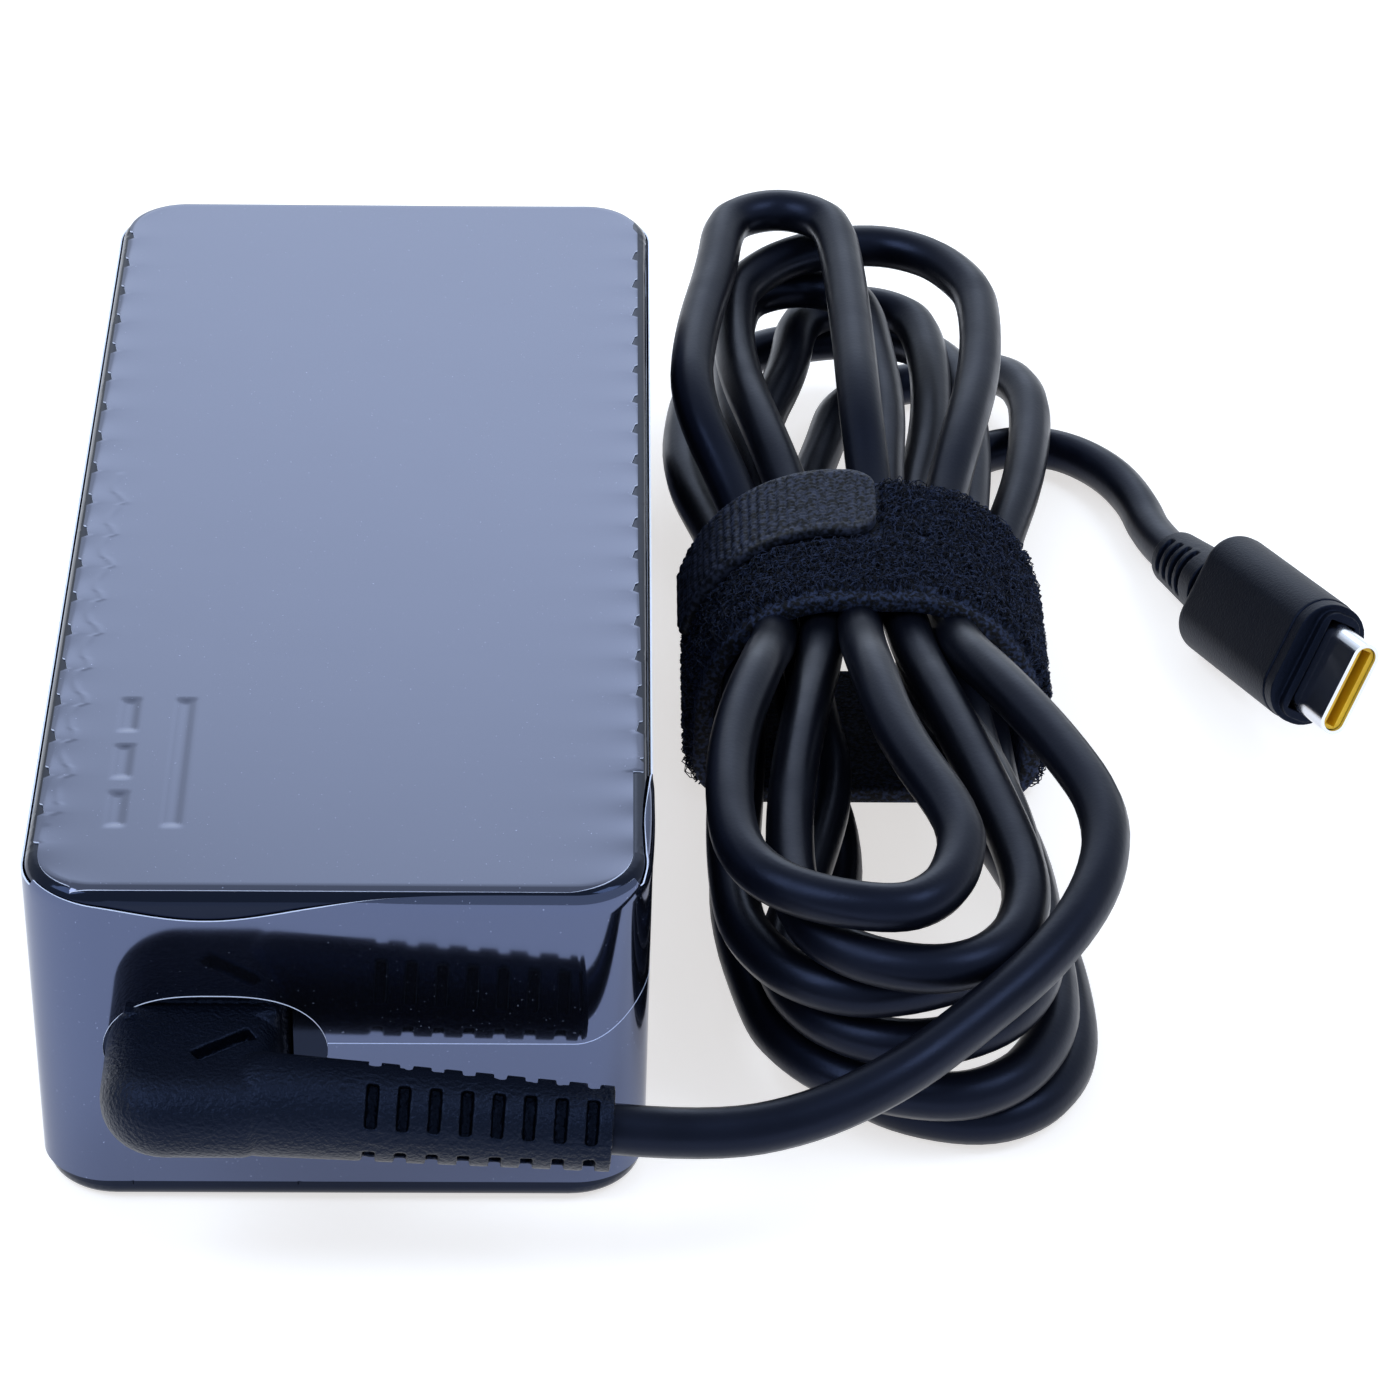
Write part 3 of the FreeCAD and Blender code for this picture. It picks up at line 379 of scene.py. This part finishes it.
NEAR_LOBES = [((35.9, 34.2, 33.9), (47.0, 49.9, 52.3), (44.5, -48.6), (18, 18, 18)),
              ((32.3, 29.5, 29.2), (40.7, 42.7, 47.2), (41.5, -46.3), (22, 22, 22)),
              ((30.2, 29.4, 29.8), (49.4, 52.0, 52.6), (39.8, -46.3), (14, 14, 14)),
              ((38.3, 36.0, 33.0), (50.8, 53.6, 53.8), (43.0, -47.2), (10, 10, 10)),
              ((30.6, 29.6, 31.8), (52.4, 54.5, 55.1), (46.0, -48.6), (6, 6, 6)),
              ((39.5, 37.2, 36.4), (53.2, 56.0, 56.8), (48.5, -46.4), (2.1, 2.1, 2.1))]
TIE_NEAR, TIE_FAR = 0.5, 19.0
TIE_GRIP = 3.5                                        # the strands run straight this far inside it
SPREAD, SPREAD_AT = 0.3, 0.07                         # how far a strand has opened out, and where
STATIONS = (0.25, 0.5, 0.75)                          # shares of the way from the tie to the tip
SHOULDERS = (math.radians(62), math.radians(34))      # round the elliptical end, from its tip
TIP_DEPTH = 0.6                                       # of the elliptical end, over the lobe's width


def lobe(edge, start, finish, shape, rightward):
    """Control points of one lobe, from the strand at start round its tip to finish."""
    left, right, (tip, reach), levels = shape
    depth = math.copysign(TIP_DEPTH * (right[-1] - left[-1]), reach - edge)
    sides = []
    for widths, level, (x, z) in ((left, levels[0], start if rightward else finish),
                                  (right, levels[2], finish if rightward else start)):
        points = [(x + SPREAD * (widths[0] - x), edge + SPREAD_AT * (reach - edge),
                   z + SPREAD * (level - z))]
        points += [(width, edge + along * (reach - edge), level)
                   for width, along in zip(widths, STATIONS)]
        points += [(tip + math.sin(turn) * (widths[-1] - tip), reach - depth * (1 - math.cos(turn)),
                    levels[1] + math.sin(turn) * (level - levels[1])) for turn in SHOULDERS]
        sides.append(points)
    first, last = sides if rightward else sides[::-1]
    return first + [(tip, reach, levels[1])] + last[::-1]


def lead_points():
    """The lead's control points, from the strain relief round the six turns to the plug."""
    points = LEAD_ROUTE + LEAD_INTO_TIE
    inside = (TIE_NEAR + TIE_GRIP, TIE_FAR - TIE_GRIP)
    for turn, (far, near) in enumerate(zip(FAR_LOBES, NEAR_LOBES)):
        right, left, after = RIGHT_STRANDS[turn], LEFT_STRANDS[turn], RIGHT_STRANDS[turn + 1]
        points += through_tie(right, inside)
        points += lobe(TIE_FAR, right[1], left[1], far, False)
        points += through_tie(left[::-1], inside[::-1])
        points += lobe(TIE_NEAR, left[0], after[0], near, True)
    points += through_tie(RIGHT_STRANDS[-1], inside)
    return points + TAIL_FROM_TIE + TAIL_ROUTE


def through_tie(strand, levels):
    """The two points of a strand inside the tie."""
    return [(x, y, z) for (x, z), y in zip(strand, levels)]


def make_lead():
    """The lead as one round spline."""
    points = millimetres(lead_points())
    curve = bpy.data.curves.new("dc_lead", "CURVE")
    curve.dimensions = "3D"
    spline = curve.splines.new("NURBS")
    spline.points.add(len(points) - 1)
    for control, point in zip(spline.points, points):
        control.co = (*point, 1.0)
    spline.order_u = 3
    spline.use_endpoint_u = True
    spline.resolution_u = 6
    curve.bevel_depth = CORD_DIAMETER / 2 * MM
    curve.bevel_resolution = 5
    curve.use_fill_caps = True
    curve.materials.append(MATERIALS["cord"])
    obj = bpy.data.objects.new("dc_lead", curve)
    bpy.context.collection.objects.link(obj)
    return obj


lead = make_lead()
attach(lead, BODY)
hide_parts("cord_lead", "cord_hank", "cord_tail")


# ---------------------------------------------------------------------------------------------
# Clear protective film
# ---------------------------------------------------------------------------------------------
# A sheet on the roof that folds over the long rims, where it is nicked every 5 mm, and a wrap
# round the walls.  The wrap bows down on the near wall, is cut round the strain relief and slit
# from there to the right, is open at the inlet, and stands up as a loose tab at the near right.
CASE_HIGH = Vector(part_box("case_cover")[1]) / MM
ROOF = CASE_HIGH.z
CASE_CORNER, CASE_RIM, DRAFT = 5.5, 1.1, math.tan(math.radians(1))
FILM_THICK = 0.13
FILM_PROUD = 0.14                                     # the film's outside over the case's face
BRIGHT_EDGE = 0.09                                    # width of the cut edge, painted as a glowing highlight
WRAP_FOOT = 1.9                                       # height of the wrap's lower edge
WRAP_COLUMNS, ROWS_BELOW, ROWS_ABOVE = 1301, 5, 10    # the wrap's grid, below and above its cut
NICK_PITCH, NICK_LONG, NICK_DEEP = 5.0, 1.6, 0.55
ROOF_END = 53.2                                       # y where the roof film ends
COLUMN_LEVEL = 14.0                                   # height at which a column's x and y are read
MARK_MIDDLE = (-14.5, -36.5)                          # middle of the debossed mark, in x and y
MARK_DEEP = 0.09
JOINTS = (-15.8, -3.3)                                # x of the panel's two joints in the near wall
JOINT_HALF, JOINT_SUNK, JOINT_TOP = 0.13, 0.07, 10
LOOSE_MIDDLE, LOOSE_HALF, LOOSE_OUT = -42, 6, 0.28    # the wrap's tab that stands off, at its top


def rim_drop(inside):
    """How far the roof has dropped at a distance inside the case's outline."""
    return CASE_RIM - math.sqrt(CASE_RIM ** 2 - max(0.0, CASE_RIM - max(inside, 0.0)) ** 2)


def inside_outline(x, y):
    """Distance from a point on the roof to the case's outline."""
    across = CASE_HIGH.x - abs(x)
    along = CASE_HIGH.y - abs(y)
    if across < CASE_CORNER and along < CASE_CORNER:
        return CASE_CORNER - math.hypot(CASE_CORNER - across, CASE_CORNER - along)
    return min(across, along)


def rounded_side(y, side, end, corner):
    """Half width of a rounded outline at y, where its straight part is side wide."""
    over = min(corner, max(0.0, abs(y) - (end - corner)))
    return side - corner + math.sqrt(corner ** 2 - over ** 2)


def nick(y, first):
    """Depth of the slanted nicks along a long edge of the roof film."""
    if not -44 < y < 50:
        return 0.0
    past = (y - first) % NICK_PITCH
    return NICK_DEEP * (1 - 0.6 * past / NICK_LONG) if past < NICK_LONG else 0.0


def roof_sheet_edges(y):
    """x of the roof film's left and right edge at y."""
    right_side = 21.85 if y < -37.3 else 22.25 + 0.4 * min(1.0, max(0.0, (-8 - y) / 25))
    right_nick = nick(y, -32.0) if y > -36 else 0.0
    left_side = 22.0 if y < -47.2 else 22.45
    return (nick(y, -43.7) - rounded_side(y, left_side, ROOF_END, 4.6),
            rounded_side(y, right_side, ROOF_END, 5.0) - right_nick)


def bar_depth(x, y, middle, size):
    """1 inside a rounded bar, falling to 0 across its sloping wall."""
    outside = max(abs(x - middle[0]) - size[0] / 2, abs(y - middle[1]) - size[1] / 2)
    return min(1.0, max(0.0, 0.5 - outside / 0.5))


def debossed_mark(x, y):
    """A direct current sign, a long bar beside three short ones, sunk in the roof."""
    mark_x, mark_y = MARK_MIDDLE
    if abs(x - mark_x) > 4.5 or abs(y - mark_y) > 10.5:
        return 0.0
    bars = [((mark_x + 2.1, mark_y), (1.0, 17.0))]
    bars += [((mark_x - 2.1, mark_y + step), (1.0, 4.2)) for step in (-6.4, 0.0, 6.4)]
    return max(bar_depth(x, y, middle, size) for middle, size in bars)


def roof_ripple(x, y, left, right):
    """Height of the film's puckers and of the crooked edge of its stuck area."""
    from_left, from_right = x - left, right - x
    pucker = 0.022 * math.exp(-from_left / 1.3) * math.cos(2 * math.pi * (y + 43.0) / NICK_PITCH)
    pucker += 0.02 * math.exp(-from_right / 1.6) * math.cos(2 * math.pi * (y + 31.3) / NICK_PITCH)
    crooked = 1.15 + (y + 43) / 42 + 0.24 * math.sin(1.3 * y) + 0.2 * math.sin(0.63 * y + 1)
    if -45 < y < 6:
        pucker += 0.014 * math.exp(-((from_left - crooked) / 0.3) ** 2)
    return pucker + 0.02 * math.sin(0.11 * x + 0.07 * y)


def film_from_grid(name, rows, paint, skip=()):
    """A film from rows of points in millimetres; skip names rows with no faces after them."""
    wide = len(rows[0])
    points = millimetres(point for row in rows for point in row)
    faces = [(r * wide + c, r * wide + c + 1, (r + 1) * wide + c + 1, (r + 1) * wide + c)
             for r in range(len(rows) - 1) if r not in skip for c in range(wide - 1)]
    film = mesh_object(name, points, faces, paint)
    film.data.materials.append(MATERIALS["film_edge_painted_glint"])
    solidify = film.modifiers.new("thickness", "SOLIDIFY")
    solidify.thickness, solidify.offset = FILM_THICK * MM, -1.0
    # the film's cut rims take the edge material, painted as a glowing highlight
    solidify.material_offset_rim = 1
    return film


def roof_film():
    """The roof's sheet: rows across it, close together at its ends and over the mark."""
    left_steps = [0, 0.06, 0.15, 0.3, 0.5, 0.75, 1.0] + [1.15 + 0.15 * i for i in range(16)]
    right_steps = [0, 0.06, 0.15, 0.3, 0.6, 1.0, 1.6, 2.4, 3.5, 5, 7, 10, 14]
    over_mark = [MARK_MIDDLE[0] - 4.7 + 0.24 * i for i in range(37)]
    end = ROOF_END - 0.01
    stations = [0.01 * i * i - end for i in range(22)]
    stations += [-48.55 + 0.24 * i for i in range(403)]
    stations += [end - 0.01 * i * i for i in range(21, -1, -1)]
    rows = []
    for y in stations:
        left, right = roof_sheet_edges(y)
        columns = [min(left + step, over_mark[0] - 0.1) for step in left_steps] + over_mark
        columns += [right - step for step in reversed(right_steps)]
        rows.append([(x, y, ROOF + FILM_PROUD - rim_drop(inside_outline(x, y))
                      + roof_ripple(x, y, left, right) - MARK_DEEP * debossed_mark(x, y))
                     for x in columns])
    return film_from_grid("roof_film", rows, "film")


def wall_point(place, height, proud):
    """A point on the walls, from how far round the case it is, starting at the back."""
    half_wide, half_long = CASE_HIGH.x, CASE_HIGH.y
    quarter = CASE_CORNER * math.pi / 2
    legs = [(half_wide - CASE_CORNER, (1, 0)), (2 * (half_long - CASE_CORNER), (0, -1)),
            (2 * (half_wide - CASE_CORNER), (-1, 0)), (2 * (half_long - CASE_CORNER), (0, 1)),
            (half_wide - CASE_CORNER, (1, 0))]
    x, y = 0.0, half_long
    sunk = proud - DRAFT * (ROOF - height)
    if height > ROOF - CASE_RIM:
        sunk -= CASE_RIM - math.sqrt(max(0.0, CASE_RIM ** 2 - (height - ROOF + CASE_RIM) ** 2))
    for leg, (length, (ahead_x, ahead_y)) in enumerate(legs):
        out_x, out_y = -ahead_y, ahead_x
        if place <= length:
            return (x + place * ahead_x + sunk * out_x, y + place * ahead_y + sunk * out_y, height)
        place -= length
        x, y = x + length * ahead_x, y + length * ahead_y
        if place <= quarter and leg < 4:
            turn = place / CASE_CORNER
            middle_x, middle_y = x - CASE_CORNER * out_x, y - CASE_CORNER * out_y
            out = (math.cos(turn) * out_x + math.sin(turn) * ahead_x,
                   math.cos(turn) * out_y + math.sin(turn) * ahead_y)
            reach = CASE_CORNER + sunk
            return (middle_x + reach * out[0], middle_y + reach * out[1], height)
        place -= quarter
        x += CASE_CORNER * (ahead_x - out_x)
        y += CASE_CORNER * (ahead_y - out_y)
    return (x, y, height)


def wrap_top(x, y):
    """Height of the wrap's upper edge."""
    if y < -51:
        return ROOF - 0.25 - 2.1 * math.exp(-((x + 9.5) / 8.5) ** 2)
    if x > 0 and y < -36.6:
        return ROOF - 0.9 + 0.85 * math.sqrt(max(0.0, 1 - ((y + 43.5) / 7.0) ** 2))
    return ROOF - 1.0


ARCH_MIDDLE, ARCH_HALF = -9.1, 8.35                   # the hole round the strain relief, in x
ARCH_LEVEL, ARCH_DOWN, ARCH_UP = 14.4, 4.8, 4.9       # its widest level, and reach from there
SLIT_LEVEL, SLIT_WIDE = 15.0, 0.08
INLET_HALF, INLET_LOW, INLET_HIGH = 12.1, 7.5, 22.5


def wrap_opening(x, y):
    """Lower and upper edge of the hole, slit or join across the wrap at a place."""
    share = abs(x - ARCH_MIDDLE) / ARCH_HALF
    if y < -50 and share <= 1:
        arch = math.sqrt(max(0.0, 1 - share ** 2.8))
        return ARCH_LEVEL - ARCH_DOWN * arch, ARCH_LEVEL + ARCH_UP * arch
    if x > ARCH_MIDDLE and y < -30:
        slit = SLIT_LEVEL + 4.0 * max(0.0, (x - 17.5) / 5.8) ** 2
        return slit, slit + SLIT_WIDE
    if y > 53 and abs(x) < INLET_HALF:
        return INLET_LOW, INLET_HIGH
    return ARCH_LEVEL, ARCH_LEVEL


def wrap_places():
    """Places round the case for the wrap's columns, close together at the arch's two ends."""
    round_trip = 4 * (CASE_HIGH.x + CASE_HIGH.y) - (8 - 2 * math.pi) * CASE_CORNER
    places = list(np.linspace(0, round_trip, WRAP_COLUMNS))
    near_middle = round_trip / 2
    for share in (0.9, 0.94, 0.97, 0.985, 0.993, 0.998, 1.0, 1.002):
        places += [near_middle - ARCH_MIDDLE + side * share * ARCH_HALF for side in (-1, 1)]
    return sorted(places)


def wrap_column(place):
    """Points up the wrap at one place round the case: below its cut, and above it."""
    x, y, _ = wall_point(place, COLUMN_LEVEL, 0.0)
    low, high = wrap_opening(x, y)
    above, top = high + BRIGHT_EDGE, wrap_top(x, y)
    heights = [WRAP_FOOT + (low - WRAP_FOOT) * row / (ROWS_BELOW - 1) for row in range(ROWS_BELOW)]
    heights.append(high)
    heights += [above + (top - above) * math.sin(row / (ROWS_ABOVE - 1) * math.pi / 2)
                for row in range(ROWS_ABOVE)]
    from_tab = (y - LOOSE_MIDDLE) / LOOSE_HALF
    loose = LOOSE_OUT * max(0.0, 1 - from_tab ** 2) if x > 20 else 0.0
    over_joint = y < -53 and min(abs(x - joint) for joint in JOINTS) < JOINT_HALF
    return [wall_point(place, height, FILM_PROUD + loose * max(0.0, (height - 24) / 4.6)
                       - (JOINT_SUNK if over_joint and height < JOINT_TOP else 0.0))
            for height in heights]


def wall_film():
    """The wrap round the walls, with a cut edge over the strain relief painted as a glowing
    highlight.
    """
    columns = [wrap_column(place) for place in wrap_places()]
    rows = [list(row) for row in zip(*columns)]
    film = film_from_grid("wall_film", rows, "wall_film", skip=(ROWS_BELOW - 1,))
    for face in film.data.polygons:
        x, y, z = face.center / MM
        low, high = wrap_opening(x, y)
        # faces in the thin band along the arch's upper cut take the painted highlight material
        if y < -50 and high - low > 0.3 and high < z < high + BRIGHT_EDGE:
            face.material_index = 1
    merge = film.modifiers.new("join", "WELD")
    merge.merge_threshold = 0.005 * MM
    film.modifiers.move(1, 0)
    return film


for film, stood_for in ((roof_film(), "film_top"), (wall_film(), "film_side")):
    apply_modifiers(film)
    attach(film, BODY)
    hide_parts(stood_for)
    film.data.set_sharp_from_angle(angle=math.radians(40))


# ---------------------------------------------------------------------------------------------
# Hook-and-loop tie
# ---------------------------------------------------------------------------------------------
TIE_LOW, TIE_HIGH = (Vector(corner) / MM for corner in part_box("tie_band"))
TAB_LOW, TAB_HIGH = (Vector(corner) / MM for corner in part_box("tie_tab"))
STRAP, CROWN, FOOT = 1.6, 12.0, 4.0
SELVAGE = 1.3                                         # width of the band's ribbed, bald edges
UNDERSIDE = 0.8                                       # the band lies flat below this height
PILE_LOOPS, PILE_THREAD = 8000, 0.055
THREAD_RINGS, THREAD_SIDES = 5, 3
TAB_CORNER, TAB_COLUMNS = 2.5, 76


def tie_outline(step):
    """Points evenly round the outside of the band, x and z, and their outward directions."""
    corners = [(TIE_HIGH.x - CROWN, TIE_HIGH.z - CROWN, CROWN, 90),
               (TIE_HIGH.x - FOOT, TIE_LOW.z + FOOT, FOOT, 0),
               (TIE_LOW.x + FOOT, TIE_LOW.z + FOOT, FOOT, -90),
               (TIE_LOW.x + CROWN, TIE_HIGH.z - CROWN, CROWN, -180)]
    outline = [(x + radius * math.cos(turn), z + radius * math.sin(turn), turn)
               for x, z, radius, first in corners
               for turn in np.radians(np.linspace(first, first - 90, 31))]
    outline.append((outline[0][0], outline[0][1], math.radians(-270)))
    outline = np.array(outline)
    run = np.concatenate([[0], np.cumsum(np.hypot(*np.diff(outline[:, :2], axis=0).T))])
    places = np.linspace(0, run[-1], int(run[-1] / step), endpoint=False)
    x, z, turn = (np.interp(places, run, outline[:, column]) for column in range(3))
    return np.stack([x, z, np.cos(turn), np.sin(turn), places], axis=1)


def strap_section(near, far, thick, count):
    """Closed section of a strap as (y, depth below its face): face, far edge, back, near edge."""
    inner = np.linspace(near + 0.35, far - 0.35, count)
    rim = [(0.1, 0.12), (0.0, 0.4), (0.0, thick - 0.4), (0.1, thick - 0.12)]
    face = [(y, 0.0) for y in inner]
    back = [(y, thick) for y in inner[::-1]]
    return face + [(far - y, d) for y, d in rim] + back + [(near + y, d) for y, d in rim[::-1]]


def under_tab(x, y, z):
    """Whether a place on the band is pressed flat by the hook tab."""
    return x < TAB_HIGH.x + 0.6 and z > TAB_LOW.z - 0.8 and y > TAB_LOW.y - 0.5


def pile_height(x, y, z, place):
    """Height of the band's face: matted pile, and ribs along the two woven edges."""
    from_edge = min(y - TIE_LOW.y, TIE_HIGH.y - y)
    if z < TIE_LOW.z + UNDERSIDE:
        return 0.0
    if from_edge < SELVAGE:
        return 0.09 * math.sin(2 * math.pi * place / 0.8) - 0.05
    clumps = noise.noise(Vector((x, y, z)) / 0.9) + 0.7 * noise.noise(Vector((x, y, z)) / 0.4)
    return 0.05 if under_tab(x, y, z) else 0.25 + 0.22 * clumps


def ring_faces(rings, wide, closed):
    """Quads between successive closed sections of wide points each."""
    last = rings if closed else rings - 1
    return [(r * wide + c, r * wide + (c + 1) % wide, (r + 1) % rings * wide + (c + 1) % wide,
             (r + 1) % rings * wide + c) for r in range(last) for c in range(wide)]


def pile_loops(outline):
    """Small arched threads standing on the band's face, as vertices and faces."""
    arch = np.linspace(0, math.pi, THREAD_RINGS)
    points, faces = [], []
    while len(points) < PILE_LOOPS * THREAD_RINGS * THREAD_SIDES:
        x, z, out_x, out_z, _ = outline[random.randrange(len(outline))]
        y = random.uniform(TIE_LOW.y + SELVAGE, TIE_HIGH.y - SELVAGE + 0.6)
        if under_tab(x, y, z) or z < TIE_LOW.z + 1.5:
            continue
        heading, reach, rise = (random.uniform(0, 2 * math.pi), random.uniform(0.3, 0.95),
                                random.uniform(0.4, 1.0))
        out = Vector((out_x, 0, out_z))
        ahead = Vector((out_z, 0, -out_x)) * math.cos(heading)
        ahead.y = math.sin(heading)
        side = out.cross(ahead)
        lean = random.uniform(-0.3, 0.3)
        first = len(points)
        for turn in arch:
            middle = (Vector((x, y, z)) - ahead * reach * math.cos(turn)
                      + (out + lean * side) * rise * math.sin(turn))
            away = out * math.sin(turn) - ahead * math.cos(turn)
            for spoke in (0.0, 2.1, 4.2):
                points.append(middle + PILE_THREAD * (away * math.cos(spoke)
                                                      + side * math.sin(spoke)))
        faces += [tuple(first + corner for corner in face)
                  for face in ring_faces(THREAD_RINGS, THREAD_SIDES, False)]
        last = len(points) - THREAD_SIDES
        faces += [(first + 2, first + 1, first), (last, last + 1, last + 2)]
    return points, faces


def loop_band():
    """The band: a closed strap round the bundle with threads standing on its pile."""
    outline = tie_outline(0.25)
    section = strap_section(TIE_LOW.y, TIE_HIGH.y, STRAP, 62)
    points = []
    for x, z, out_x, out_z, place in outline:
        for y, depth in section:
            lift = pile_height(x, y, z, place) if depth == 0 else -depth
            points.append(Vector((x + lift * out_x, y, z + lift * out_z)))
    faces = ring_faces(len(outline), len(section), True)
    threads, thread_faces = pile_loops(outline)
    start = len(points)
    faces += [tuple(start + corner for corner in face) for face in thread_faces]
    return mesh_object("tie_loop_band", millimetres(points + threads), faces, "loop")


def weave(along, across, half):
    """Height of the hook tape's face: columns of stitches between plain ribbed borders."""
    if half - abs(across) < 0.8:
        return 0.05 * math.sin(2 * math.pi * along / 0.5)
    column = math.floor(along / 0.8)
    return (0.14 * abs(math.sin(math.pi * along / 0.8))
            + 0.09 * math.sin(2 * math.pi * across / 0.5 + 2.4 * column))


def hook_tab():
    """The hook end: flat at its tip, then bent over the band's shoulder."""
    inner, thick, tip = CROWN + 0.3, 1.2, TAB_HIGH.x - TIE_LOW.x - CROWN
    middle_y, half_wide = (TAB_LOW.y + TAB_HIGH.y) / 2, (TAB_HIGH.y - TAB_LOW.y) / 2
    bend = inner * math.radians(78)
    points, rings = [], 0
    fine_steps, steps = -tip + 0.02 * np.arange(10) ** 1.4, np.arange(-tip + 0.62, bend, 0.14)
    for along in np.concatenate([fine_steps, steps]):
        to_corner = TAB_CORNER - min(TAB_CORNER, along + tip)
        half = half_wide - TAB_CORNER + math.sqrt(max(0.0, TAB_CORNER ** 2 - to_corner ** 2))
        turn = max(0.0, along) / inner
        out = Vector((-math.sin(turn), 0, math.cos(turn)))
        base = Vector((TIE_LOW.x + CROWN - min(0.0, along), middle_y, TIE_HIGH.z - CROWN))
        for y, depth in strap_section(-half, half, thick, TAB_COLUMNS):
            level = inner + thick - depth + (weave(along, y, half) if depth == 0 else 0.0)
            points.append(base + out * level + Vector((0, y, 0)))
        rings += 1
    wide = len(points) // rings
    faces = ring_faces(rings, wide, False)
    for first, flip in ((0, False), ((rings - 1) * wide, True)):
        strip = [(first + c, first + c + 1, first + wide - 6 - c, first + wide - 5 - c)
                 for c in range(TAB_COLUMNS - 1)]
        faces += [quad[::-1] if flip else quad for quad in strip]
    return mesh_object("tie_hook_tab", millimetres(points), faces, "hook")


loop_tie, hook_end = loop_band(), hook_tab()
for piece, body_name, stood_for, slot_name in ((loop_tie, BODY, "tie_band", "tie_fabric"),
                                               (hook_end, "tie_tab", "tie_tab", "tie_hook")):
    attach(piece, body_name)
    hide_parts(stood_for)


# ---------------------------------------------------------------------------------------------
# Strain relief and plug skins
# ---------------------------------------------------------------------------------------------
def blend_shoulder(skin, first, last, rounds):
    """Ease the step between the knob and the arm, between two levels of x in millimetres."""
    group = skin.vertex_groups.new(name="shoulder")
    for vertex in skin.data.vertices:
        inside = min(vertex.co.x / MM - first, last - vertex.co.x / MM)
        group.add([vertex.index], min(1.0, max(0.0, inside / 1.5)), "REPLACE")
    ease = skin.modifiers.new("shoulder", "SMOOTH")
    ease.factor, ease.iterations, ease.vertex_group = 0.5, rounds, group.name
    apply_modifiers(skin)


boot = softened("boot_skin", ["cord_boot"], "boot", 0.13, 3)
blend_shoulder(boot, -5.7, 2.5, 120)
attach(boot, BODY)
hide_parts("cord_boot")

for skin_name, node_name, grain in (("plug_skin", "plug_overmould", 0.15),
                                    ("plug_collar_skin", "plug_collar", 0.08),
                                    ("plug_relief_skin", "plug_strain_relief", 0.1)):
    skin = softened(skin_name, [node_name], "plug", grain, 3)
    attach(skin, BODY)
    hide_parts(node_name)


# ---------------------------------------------------------------------------------------------
# Stage
# ---------------------------------------------------------------------------------------------
SKY_BRIGHTEST = 2.36
SKY_LEVELS = ((0.80, 0.28), (0.955, 0.54), (0.993, 1.0))   # cosine from the patch, brightness


def make_stage():
    """A pale floor, a sky for the gloss, and two soft lights."""
    floor = mesh_object("floor", [(-6, -6, 0), (6, -6, 0), (6, 6, 0), (-6, 6, 0)],
                        [(0, 1, 2, 3)], "floor", smooth=False)
    floor.location.z = -0.0001
    make_world()
    area_light("left_softbox", (-0.9, -0.5, 1.3), (0.0, 0.0, 0.0), (0.9, 0.9), 12.0)
    area_light("right_softbox", (0.9, -0.3, 1.4), (0.0, 0.0, 0.0), (0.7, 0.7), 8.0)


def make_world():
    """An even pale sky that brightens smoothly towards a patch low behind the case."""
    world = bpy.data.worlds.new("studio")
    world.use_nodes = True
    nodes, links = world.node_tree.nodes, world.node_tree.links
    direction = nodes.new("ShaderNodeTexCoord").outputs["Generated"]
    nearness = nodes.new("ShaderNodeVectorMath")
    nearness.operation = "DOT_PRODUCT"
    nearness.inputs[1].default_value = Vector((0.0, 0.93, 0.37)).normalized()
    links.new(direction, nearness.inputs[0])
    ramp = nodes.new("ShaderNodeValToRGB")
    ramp.color_ramp.interpolation = "EASE"
    ramp.color_ramp.elements.new(0.5)
    links.new(nearness.outputs["Value"], ramp.inputs["Fac"])
    for element, (place, level) in zip(ramp.color_ramp.elements, SKY_LEVELS):
        element.position = place
        element.color = (0.8 * level, 0.89 * level, level, 1.0)
    background = nodes["Background"]
    background.inputs["Strength"].default_value = SKY_BRIGHTEST
    links.new(ramp.outputs["Color"], background.inputs["Color"])
    bpy.context.scene.world = world


def area_light(name, place, target, extent, power):
    data = bpy.data.lights.new(name, "AREA")
    data.color = (0.8, 0.89, 1.0)
    data.shape, data.size, data.size_y, data.energy = "RECTANGLE", extent[0], extent[1], power
    obj = bpy.data.objects.new(name, data)
    obj.location = place
    obj.rotation_euler = (Vector(target) - Vector(place)).to_track_quat("-Z", "Y").to_euler()
    bpy.context.collection.objects.link(obj)


make_stage()
bpy.context.scene.view_settings.view_transform = "Standard"
